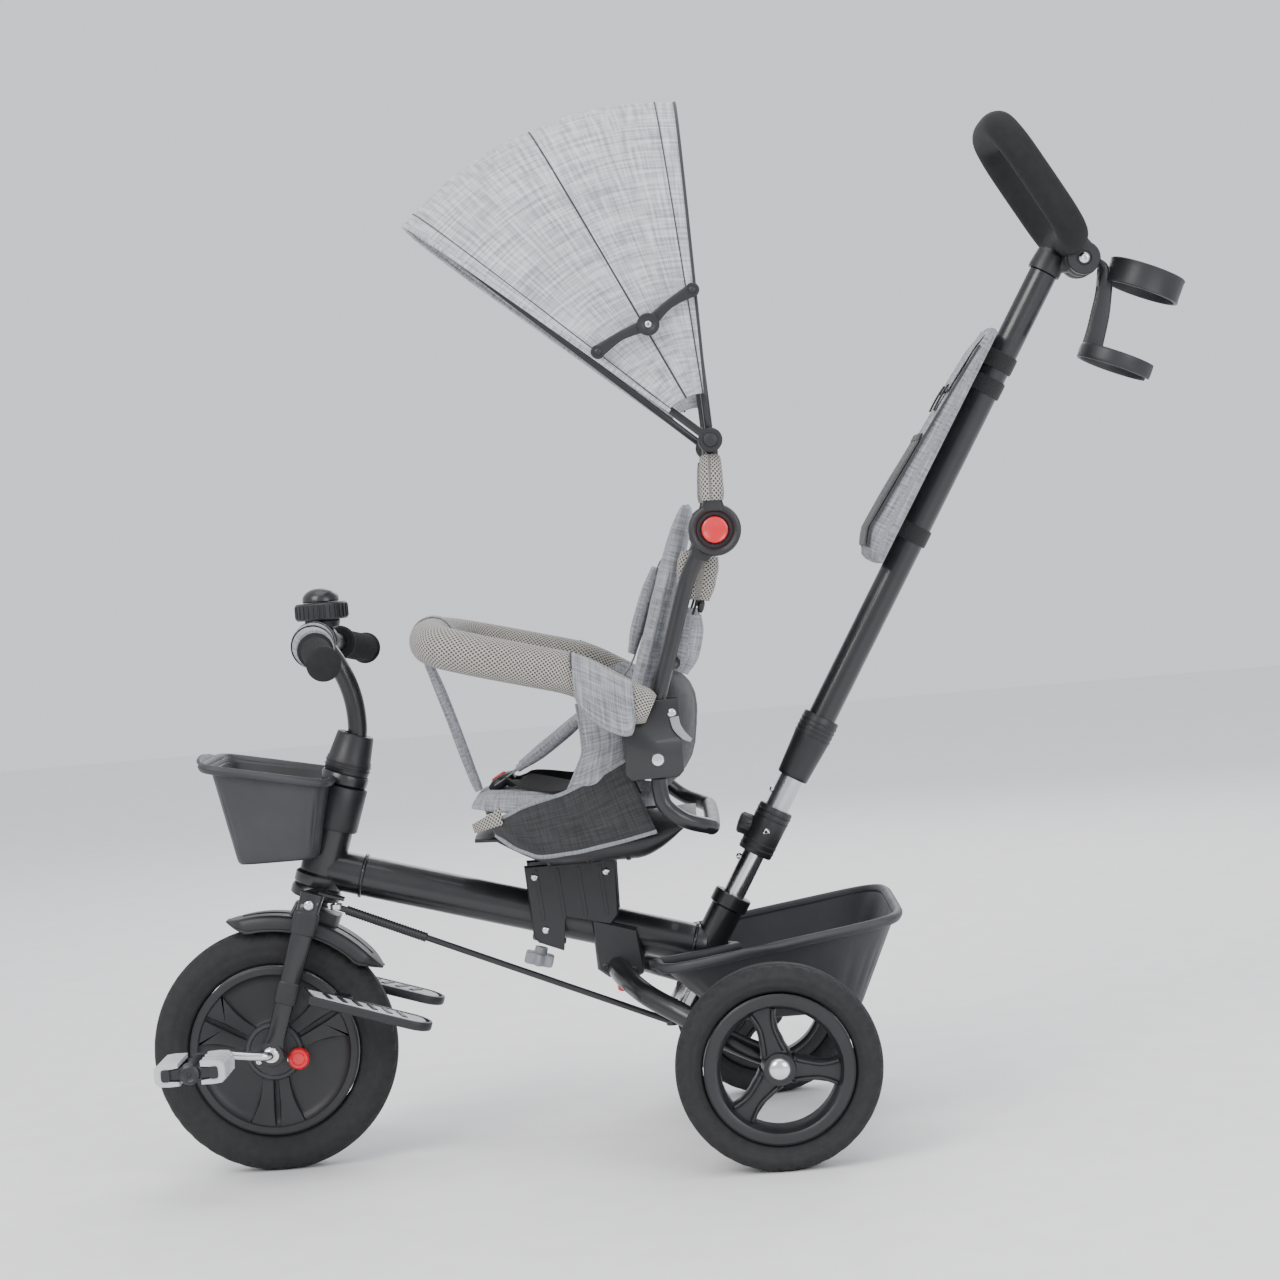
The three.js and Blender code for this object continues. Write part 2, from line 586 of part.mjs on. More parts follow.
function rearBasket() {
  const top = [basket.halfTop - 6, -108, 132, 190, 224, 60];
  const bottom = [basket.halfBottom, -50, 92, basket.floor, basket.floor, 40];
  const shell = tub(top, bottom, basket.wall);
  const rim = ring(sectionPoints(basket.halfTop - 4, -111, 135, 192, 226, 60), 6, 11, 6);
  const pushClear = bar(onPushBar(-60), onPushBar(60), pushSocket.radius + 9);
  const bracketSpace = box(-14, 14, pushFoot.y + 4, pushFoot.y + 60, 186, 196);
  const tubeFront = v3(0, mainTube.start, mainTube.frontHeight);
  const tubeClear = bar(tubeFront, v3(0, -20, mainTubeAt(-20)), mainTube.radius + 6);
  return cut(join(shell, rim), pushClear, tubeClear, bracketSpace);
}

// ---------------------------------------------------------------- push bar
function pushShaftPiece() {
  const tube = bar(onPushBar(pushShaft.low), onPushBar(pushShaft.high), pushShaft.radius);
  const foot = onPushBar(pushShaft.low);
  const low = rodRear.z + leverRise.low;
  const high = rodRear.z + leverRise.high;
  const lever = box(-12, steeringRod.leverX + 8, foot.y - 9, foot.y + 9, low, high);
  return join(tube, lever);
}

const pushBarLower = () =>
  bar(onPushBar(pushShaft.high + gap), onPushBar(pushLower.high), pushLower.radius);

function heightClamp() {
  const clampRing = bar(onPushBar(100), onPushBar(152), pushLower.radius + 6, undefined, 16);
  const ear = bar(onPushBar(126), onPushBar(126).add(v3(0, -27, 12)), 9, 11);
  const bore = bar(onPushBar(80), onPushBar(170), pushLower.radius + 2 * gap, undefined, 16);
  return cut(join(clampRing, ear), bore);
}

function taperSleeve() {
  const inner = pushLower.radius + gap;
  const wide = pushUpper.radius + gap;
  const skin = pushUpper.radius + 4.5;
  const profile = [
    [inner, 188], [pushLower.radius + 4, 188], [skin, 232], [skin, 258],
    [wide, 258], [wide, 237], [inner, 237], [inner, 188],
  ];
  return turnedAlong(profile, onPushBar(0), pushUp);
}

const pushBarUpper = () =>
  sleeve(onPushBar(0), pushUp, pushUpper.low, pushUpper.high, pushLower.radius + gap, pushUpper.radius);

const handleHub = { y: 382, z: 872, radius: 17, half: 20 };
function handleJoint() {
  const barrel = crossBar(-handleHub.half, handleHub.half, handleHub.y, handleHub.z, handleHub.radius, 20);
  const plugTop = bar(onPushBar(pushUpper.high - 40), onPushBar(pushUpper.high + 12), pushLower.radius - 1);
  const cap = bar(onPushBar(pushUpper.high + gap), onPushBar(pushUpper.high + 24), 17, 15);
  const neck = bar(v3(0, 354, 871), v3(0, handleHub.y, handleHub.z), 12);
  return join(barrel, plugTop, cap, neck);
}

const loop = { top: v3(0, 302, 1010.6), low: v3(0, 372, 888), half: 80, tube: 16 };
function pushHandle() {
  const up = loop.top.clone().sub(loop.low);
  const at = (x, share) => loop.low.clone().addScaledVector(up, share).add(v3(x, 0, 0));
  const { half } = loop;
  const points = [at(-half * 0.55, 0.06), at(half * 0.55, 0.06), at(half, 0.24), at(half, 0.76),
    at(half * 0.55, 1), at(-half * 0.55, 1), at(-half, 0.76), at(-half, 0.24)];
  const body = ring(points, loop.tube, 9, 8);
  const lug = (x0, x1) => join(
    crossBar(x0, x1, handleHub.y, handleHub.z, handleHub.radius, 20),
    box(x0, x1, 362, 386, 876, 900),
  );
  const barrelHalf = handleHub.half + gap;
  const barrelClear = crossBar(-barrelHalf, barrelHalf, handleHub.y, handleHub.z, 19, 20);
  const neckClear = bar(v3(0, 330, 869), v3(0, handleHub.y, handleHub.z), 18.5);
  const capClear = bar(onPushBar(pushUpper.high - 20), onPushBar(pushUpper.high + 28), 19);
  const cupClear = box(-60, 60, handleHub.y + 12, handleHub.y + 60, 800, 900);
  const looped = join(body, lug(handleHub.half + gap, 32), lug(-32, -handleHub.half - gap));
  return cut(looped, barrelClear, neckClear, capClear, cupClear);
}

const cup = { y: 446, z: 845, inner: 36, outer: 40, band: 26, tilt: 24 };
function cupHolder() {
  const tiltAxis = v3(0, Math.sin(rad(cup.tilt)), Math.cos(rad(cup.tilt)));
  const centre = v3(0, cup.y, cup.z);
  const top = sleeve(centre, tiltAxis, -cup.band / 2, cup.band / 2, cup.inner, cup.outer, 20);
  const low = sleeve(centre, tiltAxis, -96, -80, cup.inner, cup.outer, 20);
  const mouth = box(-16, 16, cup.y - 12, cup.y + 80, cup.z - 140, cup.z - 62);
  const web = sidePlate([[400, 866], [412, 864], [396, 768], [372, 778]], -13, 13);
  const arm = sidePlate([[396, 870], [412, 862], [408, 838], [392, 846]], -14, 14);
  const cupSpace = bar(
    centre.clone().addScaledVector(tiltAxis, -130),
    centre.clone().addScaledVector(tiltAxis, 60),
    cup.inner,
    cup.inner,
    20,
  );
  const barrelClear = crossBar(-60, 60, handleHub.y, handleHub.z, handleHub.radius + gap, 20);
  const barClear = bar(onPushBar(600), onPushBar(800), pushUpper.radius + 1);
  return cut(join(top, cut(low, mouth), web, arm), cupSpace, barrelClear, barClear);
}

const bag = { low: 428, high: 690, halfWidth: 52 };
function organizerBag() {
  const front = pushUpper.radius + 1;
  const inBarFrame = (geometry) =>
    geometry.rotateX(-rad(pushLean)).translate(...onPushBar(0).toArray());
  const wedge = sidePlate([
    [-front, bag.high], [-front - 12, bag.high], [-front - 34, bag.low + 46],
    [-front - 22, bag.low], [-front, bag.low],
  ], -bag.halfWidth, bag.halfWidth, 5);
  return inBarFrame(wedge);
}

// ---------------------------------------------------------------- seat
const tubeClearance = (extra) =>
  bar(v3(0, mainTube.start, mainTube.frontHeight), v3(0, mainTube.end, mainTubeAt(mainTube.end)),
    mainTube.radius + extra, undefined, 20);

const pedestal = { front: -243, rear: -146, top: 298, half: 30, clampRear: -207 };
pedestal.clampDrop = mainTube.radius + 12;
function seatPedestal() {
  const { front, rear, top, half, clampRear, clampDrop } = pedestal;
  const block = sidePlate([
    [front, top],
    [front + 6, mainTubeAt(front) - clampDrop + 6],
    [front + 10, mainTubeAt(front) - clampDrop],
    [clampRear, mainTubeAt(clampRear) - clampDrop], [clampRear, mainTubeAt(clampRear) + 3],
    [rear - 8, mainTubeAt(rear) + 5], [rear, top],
  ], -half, half, 4);
  return cut(block, tubeClearance(gap));
}

function seatKnob() {
  const down = v3(0, -mainTubeFall, -1).normalize();
  const start = v3(0, -222, mainTubeAt(-222));
  const at = (distance) => start.clone().addScaledVector(down, distance);
  const neck = bar(at(pedestal.clampDrop + 2), at(44), 7);
  const lobes = Array.from({ length: 6 }, (_, i) => {
    const turn = (i * Math.PI) / 3;
    const across = v3(Math.cos(turn), 0, 0).add(v3(0, down.z, -down.y).multiplyScalar(Math.sin(turn)));
    const foot = at(42).addScaledVector(across, 12);
    return bar(foot, foot.clone().addScaledVector(down, 12), 5, 5, 8);
  });
  return join(neck, bar(at(42), at(54), 13), ...lobes);
}

function seatShell() {
  return sidePlate([
    [-286, seat.rim], [-276, 338], [-256, 318], [-224, 302], [-200, pedestal.top + gap],
    [-130, pedestal.top + gap], [-90, 304], [-68, 318], [-60, 338], [-62, 352], [-100, seat.rim],
  ], -seat.halfWidth, seat.halfWidth, 6);
}

function seatCushion() {
  const top = seat.rim + gap;
  return sidePlate([
    [-281, top], [-288, top + 14], [-276, top + 30], [-235, top + 30],
    [-150, top + 17], [-100, top + 16], [-96, top],
  ], -seat.cushionHalf, seat.cushionHalf, 5);
}

const bracket = { front: -126, rear: -68, low: 386, high: 464, inner: 128, outer: 152, plate: 3 };
function reclineBracket() {
  const { front, rear, low, high, inner, outer, plate } = bracket;
  const body = sidePlate([
    [front, high], [front, low + 12], [front + 10, low], [rear - 12, low], [rear, low + 14], [rear, high],
  ], inner, outer);
  const slot = box(inner + plate, outer - plate, front + 5, rear + 20, low + 4, high + 20);
  const pin = crossBar(inner, outer, recline.y, recline.z, 4);
  return join(cut(body, slot), pin);
}

function seatTube() {
  const left = [
    v3(backrest.tubeX, -94, bracket.low - 2 * gap),
    v3(backrest.tubeX, -94, 374),
    v3(backrest.tubeX, -90, 358),
    v3(139, -72, 342), v3(124, -50, 333), v3(92, -45, 330),
  ];
  const right = left.map((point) => v3(-point.x, point.y, point.z)).reverse();
  return sweep([...left, ...right], backrest.tube, 20, { sides: 8 });
}

function backrestFrame() {
  const side = sweep([
    v3(backrest.tubeX, -94, 394), v3(backrest.tubeX, -93, 425), v3(backrest.tubeX, -89, 461.5),
    v3(backrest.tubeX, -70, 520), v3(backrest.tubeX + 1, -51, 577), v3(tiltJoint.inner + 3, -32, 612),
  ], backrest.tube, 8, { sides: 8 });
  const disc = crossBar(tiltJoint.inner, tiltJoint.split, tiltJoint.y, tiltJoint.z, tiltJoint.radius, 18);
  const cross = sweep([
    v3(backrest.tubeX, -77, 500), v3(112, -66, 498), v3(0, -58, 496),
    v3(-112, -66, 498), v3(-backrest.tubeX, -77, 500),
  ], backrest.tube - 1, 10, { sides: 8 });
  const bore = crossBar(bracket.inner, bracket.outer, recline.y, recline.z, 4 + gap);
  return cut(join(side, disc, mirrored(side), mirrored(disc), cross), bore, mirrored(bore));
}

function backrestCushion() {
  const frontAt = (z) => -103 + (z - 519) * Math.tan(rad(backrest.lean));
  const thickness = 24;
  const outline = [
    [frontAt(388), 388], [frontAt(388) + thickness, 388], [frontAt(650) + thickness, 650],
    [frontAt(656) + 8, 656], [frontAt(645), 645], [frontAt(450) - 6, 450],
  ];
  return sidePlate(outline, -backrest.cushionHalf, backrest.cushionHalf, 6);
}

function safetyBarPiece() {
  const half = safetyBar.halfWidth;
  const left = [v3(half, -166, 494), v3(half, -215, 509), v3(half - 2, -262, 522), v3(half - 22, -298, 532),
    v3(half - 70, -314, 537)];
  const right = left.map((point) => v3(-point.x, point.y, point.z)).reverse();
  const padded = sweep([...left, v3(0, -317, 539), ...right], safetyBar.radius, 20, { sides: 10 });
  const ear = sidePlate([
    [-190, 512], [-190, 486], [-118, 444], [-100, 444], [-92, 460], [-100, 476], [-118, 478],
  ], bracket.outer + 1.5, bracket.outer + 8);
  return join(padded, ear, mirrored(ear));
}

// ---------------------------------------------------------------- sun hood
const button = { radius: 13.4, seat: 163, start: 166, end: 176 };
function canopyStrut() {
  const { split, outer, radius } = tiltJoint;
  const disc = crossBar(split + gap, outer, tiltJoint.y, tiltJoint.z, radius, 18);
  const x = 169;
  const strut = sweep([
    v3(x, tiltJoint.y, tiltJoint.z + 16), v3(x, tiltJoint.y, tiltJoint.z + 40), v3(x - 6, -18, 682),
    v3(hub.strutX, -17, 700), v3(hub.strutX, hub.y, hub.z + 1),
  ], 8, 10, { sides: 8 });
  const boss = crossBar(hub.strutX - 8, hub.strutX + 8, hub.y, hub.z, hub.boss, 20);
  const pin = crossBar(hub.strutX, hub.frontX + 4, hub.y, hub.z, hub.pin, 12);
  const well = crossBar(button.seat, 190, tiltJoint.y, tiltJoint.z, button.radius + gap, 16);
  return join(cut(join(disc, strut), well), boss, pin);
}

const tiltButton = () =>
  crossBar(button.start, button.end, tiltJoint.y, tiltJoint.z, button.radius, 16);

// One arch of the hood: half of a rounded arc in the plane that leans forward from the hub by some degrees.
function arch(halfWidth, height, degreesForward, count, footX = halfWidth, footRadius = 0) {
  const points = [];
  for (let i = 0; i <= count; i += 1) {
    const turn = (i / count) * Math.PI;
    const squared = (value, power) => Math.sign(value) * Math.abs(value) ** power;
    const x = halfWidth * squared(Math.cos(turn), 0.62);
    const reach = height * squared(Math.sin(turn), 0.5);
    const { y, z } = polar(hub, reach, degreesForward);
    points.push(v3(x, y, z));
  }
  const foot = polar(hub, footRadius, degreesForward);
  points[0] = v3(footX, foot.y, foot.z);
  points[count] = v3(-footX, foot.y, foot.z);
  return points;
}

function bow(degreesForward, radius, discX) {
  const inside = canopy.cloth + canopy.bow + 5;
  const path = arch(canopy.halfWidth - inside, radius - inside, degreesForward, 14, discX, hub.boss - 4);
  const tube = sweep(path, canopy.bow, 20, { sides: 6 });
  const disc = crossBar(discX - 3, discX + 3, hub.y, hub.z, hub.boss, 20);
  const bore = crossBar(120, 200, hub.y, hub.z, hub.pin + gap, 12);
  return cut(join(tube, disc, mirrored(disc)), bore, mirrored(bore));
}

function hood() {
  const reach = canopy.frontAngle - canopy.rearAngle;
  const edge = 1.7;
  const section = (share, less, beyond = 0) => {
    const angle = canopy.rearAngle - edge + beyond + share * (reach + 2 * edge);
    const radius = canopy.rearRadius + share * (canopy.frontRadius - canopy.rearRadius) - less;
    return arch(canopy.halfWidth - less, radius, angle, 14);
  };
  const shares = [0, 1 / 3, 2 / 3, 1];
  const outer = new ConvexGeometry(shares.flatMap((share) => section(share, 0)));
  const innerPoints = shares.flatMap((share) => section(share, canopy.cloth));
  const flare = [...section(0, canopy.cloth, -16), ...section(1, canopy.cloth, 16)];
  const insideHalf = canopy.halfWidth - canopy.cloth;
  const mouth = [-60, 20].flatMap((y) => [-insideHalf, insideHalf].map((x) => v3(x, hub.y + y, hub.z - 30)));
  const inner = new ConvexGeometry([...innerPoints, ...flare, ...mouth]);
  return cut(outer, inner);
}

const stayPins = { rear: { y: -5.6, z: 146 }, knee: { y: -51, z: 116 }, front: { y: -102, z: 93.5 } };
function stayArm(from, to, x) {
  const a = { y: hub.y + from.y, z: hub.z + from.z };
  const b = { y: hub.y + to.y, z: hub.z + to.z };
  const along = new THREE.Vector2(b.y - a.y, b.z - a.z).normalize().multiplyScalar(stay.disc - 1.5);
  const web = sidePlate([
    [a.y - along.y, a.z + along.x], [a.y + along.y, a.z - along.x],
    [b.y + along.y, b.z - along.x], [b.y - along.y, b.z + along.x],
  ], x, x + stay.thick);
  const eye = (end) => crossBar(x, x + stay.thick, end.y, end.z, stay.disc, 14);
  return join(web, eye(a), eye(b));
}

const stayRear = () => join(
  stayArm(stayPins.rear, stayPins.knee, stay.x),
  crossBar(canopy.halfWidth + 1, stay.x + 1, hub.y + stayPins.rear.y, hub.z + stayPins.rear.z, 3, 10),
);
const stayFront = () => join(
  stayArm(stayPins.knee, stayPins.front, stay.x + stay.thick + gap),
  crossBar(stay.x + 5, stay.x + 11, hub.y + stayPins.knee.y, hub.z + stayPins.knee.z, 11, 16),
);

// ---------------------------------------------------------------- assembly
piece("main_frame", "frame_black", mainFrame());
piece("rear_fork", "frame_black", rearForkPiece());
piece("rear_axle", "steel", rearAxlePiece());
piece("rear_joint_housing", "plastic_black", rearJointHousing());
piece("release_button", "plastic_red", bar(
  v3(0, releaseButton.y, releaseButton.z - releaseButton.length / 2),
  v3(0, releaseButton.y, releaseButton.z + releaseButton.length / 2),
  releaseButton.radius,
));
piece("front_bucket", "plastic_black", frontBucket());
piece("rear_basket", "plastic_black", rearBasket());

piece("front_fork", "frame_black", frontFork());
piece("handlebar", "frame_black", handlebarPiece());
piece("stem_cover", "plastic_black", stemCover());
pair("grip", "foam_black", gripLeft());
piece("handlebar_pad", "fabric_grey", handlebarPad());
piece("bell", "plastic_black", bellPiece());
piece("bell_ring", "plastic_black", bellRing());
piece("front_fender", "plastic_black", fenderPiece());
pair("footrest", "plastic_black", footrestLeft());
piece("front_tyre", "tyre_black", tyre(frontWheel, frontAxle));
piece("front_rim", "plastic_black", frontRim());
piece("clutch_knob", "plastic_red", clutchKnob());
piece("pedal_crank", "steel", pedalCrank());
piece("pedal_left", "plastic_black", pedal(1));
piece("pedal_right", "plastic_black", pedal(-1));
piece("steering_rod", "frame_black", steeringRodPiece());

pair("rear_tyre", "tyre_black", tyre(rearWheel, rearAxle).translate(rearHalfTrack, 0, 0));
pair("rear_rim", "plastic_black", rearRim());
piece("brake_pedal", "plastic_black", brakePedal());

piece("push_shaft", "steel", pushShaftPiece());
piece("push_bar_lower", "frame_black", pushBarLower());
piece("height_clamp", "plastic_black", heightClamp());
piece("taper_sleeve", "plastic_black", taperSleeve());
piece("push_bar_upper", "frame_black", pushBarUpper());
piece("handle_joint", "plastic_black", handleJoint());
piece("push_handle", "foam_black", pushHandle());
piece("cup_holder", "plastic_black", cupHolder());
piece("organizer_bag", "fabric_grey", organizerBag());

piece("seat_pedestal", "plastic_black", seatPedestal());
piece("seat_knob", "plastic_grey", seatKnob());
piece("seat_shell", "fabric_black", seatShell());
piece("seat_cushion", "fabric_grey", seatCushion());
piece("seat_tube", "frame_black", seatTube());
pair("recline_bracket", "frame_black", reclineBracket());
piece("backrest_frame", "frame_black", backrestFrame());
piece("backrest_cushion", "fabric_grey", backrestCushion());
piece("safety_bar", "mesh_beige", safetyBarPiece());

pair("canopy_strut", "frame_black", canopyStrut());
pair("tilt_button", "plastic_red", tiltButton());
piece("rear_bow", "frame_black", bow(canopy.rearAngle, canopy.rearRadius, hub.rearX));
piece("front_bow", "frame_black", bow(canopy.frontAngle, canopy.frontRadius, hub.frontX));
piece("canopy_hood", "fabric_grey", hood());
pair("stay_rear", "plastic_black", stayRear());
pair("stay_front", "plastic_black", stayFront());

// The origin is the middle of the tricycle's box on the ground.
const extent = new THREE.Box3().setFromObject(tricycle);
tricycle.position.y = -(extent.min.y + extent.max.y) / 2;

export default tricycle;
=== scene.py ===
import json
import math

import bmesh
import bpy
from mathutils import Matrix, Vector


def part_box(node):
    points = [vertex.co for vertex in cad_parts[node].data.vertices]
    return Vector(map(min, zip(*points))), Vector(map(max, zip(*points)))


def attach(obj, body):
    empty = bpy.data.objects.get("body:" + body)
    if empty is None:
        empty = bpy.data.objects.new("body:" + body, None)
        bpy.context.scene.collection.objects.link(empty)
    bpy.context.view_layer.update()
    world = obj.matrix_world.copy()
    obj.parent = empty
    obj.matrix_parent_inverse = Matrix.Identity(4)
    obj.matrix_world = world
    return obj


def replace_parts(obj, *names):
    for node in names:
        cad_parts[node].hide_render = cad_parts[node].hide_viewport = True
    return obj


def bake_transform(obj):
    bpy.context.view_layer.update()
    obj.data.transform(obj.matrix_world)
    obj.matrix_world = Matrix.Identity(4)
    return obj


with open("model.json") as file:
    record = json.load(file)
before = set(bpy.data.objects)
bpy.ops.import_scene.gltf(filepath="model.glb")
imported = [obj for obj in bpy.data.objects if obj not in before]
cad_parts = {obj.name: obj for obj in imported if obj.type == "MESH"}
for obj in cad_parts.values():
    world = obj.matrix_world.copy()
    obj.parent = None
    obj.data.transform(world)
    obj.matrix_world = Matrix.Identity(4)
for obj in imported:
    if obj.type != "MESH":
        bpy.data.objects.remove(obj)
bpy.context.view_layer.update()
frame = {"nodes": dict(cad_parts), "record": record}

# Sizes below are millimetres in the tricycle's own frame: the rear axle is Y 0 and the ground is Z 0.
AXLE_LOW, AXLE_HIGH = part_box("rear_axle")
SHIFT = (AXLE_LOW.y + AXLE_HIGH.y) / 2
REAR_AXLE_Z = (AXLE_LOW.z + AXLE_HIGH.z) * 500
RIM_LOW, RIM_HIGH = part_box("front_rim")
FRONT_AXLE = (-517.0, (RIM_LOW.z + RIM_HIGH.z) * 500)
STEER_LEAN = math.radians(19.1)
PUSH_LEAN = math.radians(31.1)
HUB = (-16.0, 715.0)
PUSH_FOOT = (-54.9, 202.8)
REAR_HALF_TRACK = 205.0
ACROSS = Vector((1, 0, 0))
ALONG = Vector((0, 1, 0))
UPWARD = Vector((0, 0, 1))


def at(x, y, z):
    """A point of the tricycle in the row frame, in metres."""
    return Vector((x / 1000, y / 1000 + SHIFT, z / 1000))


def on_steering(t, x=0.0, forward=0.0):
    """A point t up the steering axis from the front axle, and forward of it."""
    y = FRONT_AXLE[0] + t * math.sin(STEER_LEAN) - forward * math.cos(STEER_LEAN)
    z = FRONT_AXLE[1] + t * math.cos(STEER_LEAN) + forward * math.sin(STEER_LEAN)
    return at(x, y, z)


def on_push(u, x=0.0, behind=0.0):
    """A point on the push bar, u along it from its foot, and behind it."""
    y = PUSH_FOOT[0] + u * math.sin(PUSH_LEAN) + behind * math.cos(PUSH_LEAN)
    z = PUSH_FOOT[1] + u * math.cos(PUSH_LEAN) - behind * math.sin(PUSH_LEAN)
    return at(x, y, z)


# ---------------------------------------------------------------- materials


class Graph:
    """A material's node tree, built a call at a time."""

    def __init__(self, name, rough, metallic=0.0, sheen=0.0, coat=0.0):
        self.material = bpy.data.materials.new(name)
        self.material.use_nodes = True
        self.tree = self.material.node_tree
        self.surface = self.tree.nodes["Principled BSDF"]
        self.surface.inputs["Roughness"].default_value = rough
        self.surface.inputs["Metallic"].default_value = metallic
        self.surface.inputs["Sheen Weight"].default_value = sheen
        self.surface.inputs["Coat Weight"].default_value = coat

    def node(self, kind, **settings):
        made = self.tree.nodes.new(kind)
        for key, value in settings.items():
            setattr(made, key, value)
        return made

    def link(self, out, into):
        self.tree.links.new(out, into)

    def math(self, operation, a, b=None, c=None):
        made = self.node("ShaderNodeMath", operation=operation)
        for slot, value in enumerate((a, b, c)):
            if value is None:
                continue
            if isinstance(value, (int, float)):
                made.inputs[slot].default_value = value
            else:
                self.link(value, made.inputs[slot])
        return made.outputs[0]

    def noise(self, scale, vector=None, detail=3.0, stretch=(1, 1, 1)):
        made = self.node("ShaderNodeTexNoise")
        made.inputs["Scale"].default_value = scale
        made.inputs["Detail"].default_value = detail
        if vector is None:
            vector = self.node("ShaderNodeTexCoord").outputs["Object"]
        mapping = self.node("ShaderNodeMapping")
        mapping.inputs["Scale"].default_value = stretch
        self.link(vector, mapping.inputs["Vector"])
        self.link(mapping.outputs["Vector"], made.inputs["Vector"])
        return made.outputs["Fac"]

    def mix(self, factor, first, second):
        made = self.node("ShaderNodeMix", data_type="RGBA")
        self.link(factor, made.inputs["Factor"])
        for slot, value in (("A", first), ("B", second)):
            socket = [s for s in made.inputs if s.name == slot and s.type == "RGBA"][0]
            if isinstance(value, tuple):
                socket.default_value = (*value, 1.0)
            else:
                self.link(value, socket)
        return [s for s in made.outputs if s.type == "RGBA"][0]

    def bump(self, height, strength, distance=0.0005):
        made = self.node("ShaderNodeBump")
        made.inputs["Strength"].default_value = strength
        made.inputs["Distance"].default_value = distance
        self.link(height, made.inputs["Height"])
        self.link(made.outputs["Normal"], self.surface.inputs["Normal"])

    def colour(self, value):
        self.link(value, self.surface.inputs["Base Color"])

    def uv(self):
        split = self.node("ShaderNodeSeparateXYZ")
        coordinates = self.node("ShaderNodeTexCoord").outputs["UV"]
        self.link(coordinates, split.inputs[0])
        return coordinates, split.outputs["X"], split.outputs["Y"]

    def remap(self, value, low, high):
        made = self.node("ShaderNodeMapRange")
        made.inputs["From Min"].default_value = low
        made.inputs["From Max"].default_value = high
        self.link(value, made.inputs["Value"])
        return made.outputs["Result"]


def tones(colour, spread):
    """A darker and a lighter shade of a colour."""
    dark = tuple(c * (1 - spread) for c in colour)
    light = tuple(min(1.0, c * (1 + spread)) for c in colour)
    return dark, light


def finish(name, colour, rough, metallic=0.0, grain=0.1, pitch=900.0, spread=0.12, coat=0.0):
    """A hard surface: a fine grain, and a tone that wanders a little."""
    g = Graph(name, rough, metallic, coat=coat)
    dark, light = tones(colour, spread)
    g.colour(g.mix(g.remap(g.noise(18.0), 0.35, 0.65), dark, light))
    worn = g.remap(g.noise(55.0), 0.3, 0.7)
    g.link(g.math("MULTIPLY_ADD", worn, 0.1, rough - 0.05), g.surface.inputs["Roughness"])
    g.bump(g.noise(pitch), grain)
    return g.material


def weave(name, dark, light, thread, rough=0.9, relief=0.5, heather=1.0):
    """A plain cross weave laid on the piece's own lengths, with threads of mixed tone."""
    g = Graph(name, rough, sheen=0.25)
    vector, u, v = g.uv()
    turn = 2 * math.pi / thread
    warp = g.math("SINE", g.math("MULTIPLY", u, turn))
    weft = g.math("SINE", g.math("MULTIPLY", v, turn))
    over = g.math("MULTIPLY", warp, weft)
    height = g.math("ABSOLUTE", over)
    along = g.noise(0.55 / thread, vector, 2.0, (1.0, 0.06, 1.0))
    across = g.noise(0.55 / thread, vector, 2.0, (0.06, 1.0, 1.0))
    mixed = g.math("MULTIPLY_ADD", g.math("SUBTRACT", along, across), heather, 0.5)
    mixed = g.math("MULTIPLY_ADD", over, 0.12, mixed)
    g.colour(g.mix(g.remap(mixed, 0.25, 0.75), dark, light))
    g.bump(height, relief, thread * 0.35)
    return g.material


def netting(name, thread, hole, pitch, rough=0.85, share=0.32):
    """Diamond mesh cloth: crossed threads with a dark hole in each diamond."""
    g = Graph(name, rough, sheen=0.2)
    vector, u, v = g.uv()
    turn = math.pi / pitch
    one = g.math("SINE", g.math("MULTIPLY", g.math("ADD", u, v), turn))
    two = g.math("SINE", g.math("MULTIPLY", g.math("SUBTRACT", u, v), turn))
    open_ = g.math("ABSOLUTE", g.math("MULTIPLY", one, two))
    inside = g.remap(open_, share, share + 0.3)
    fleck = g.remap(g.noise(0.8 / pitch, vector, 2.0), 0.3, 0.7)
    worn = g.mix(fleck, tuple(c * 0.85 for c in thread), thread)
    g.colour(g.mix(inside, worn, hole))
    g.bump(g.math("SUBTRACT", 1.0, inside), 0.7, pitch * 0.25)
    return g.material


def webbing(name, colour, rib=0.0014, rough=0.8):
    """Woven strap: fine ribs along its length."""
    g = Graph(name, rough, sheen=0.15)
    vector, u, v = g.uv()
    turn = 2 * math.pi / rib
    ribs = g.math("SINE", g.math("MULTIPLY", u, turn))
    picks = g.math("SINE", g.math("MULTIPLY", v, turn * 0.5))
    dark, light = tones(colour, 0.25)
    g.colour(g.mix(g.remap(g.noise(500.0, vector), 0.3, 0.7), dark, light))
    g.bump(g.math("MULTIPLY_ADD", picks, 0.4, ribs), 0.45, 0.0004)
    return g.material


def foam(name, colour, cell=1100.0, rough=0.93):
    """Closed-cell foam: a fine pitted skin."""
    g = Graph(name, rough)
    cells = g.node("ShaderNodeTexVoronoi")
    cells.inputs["Scale"].default_value = cell
    g.link(g.node("ShaderNodeTexCoord").outputs["Object"], cells.inputs["Vector"])
    dark, light = tones(colour, 0.2)
    g.colour(g.mix(g.remap(g.noise(120.0), 0.3, 0.7), dark, light))
    g.bump(cells.outputs["Distance"], 0.35, 0.0006)
    return g.material


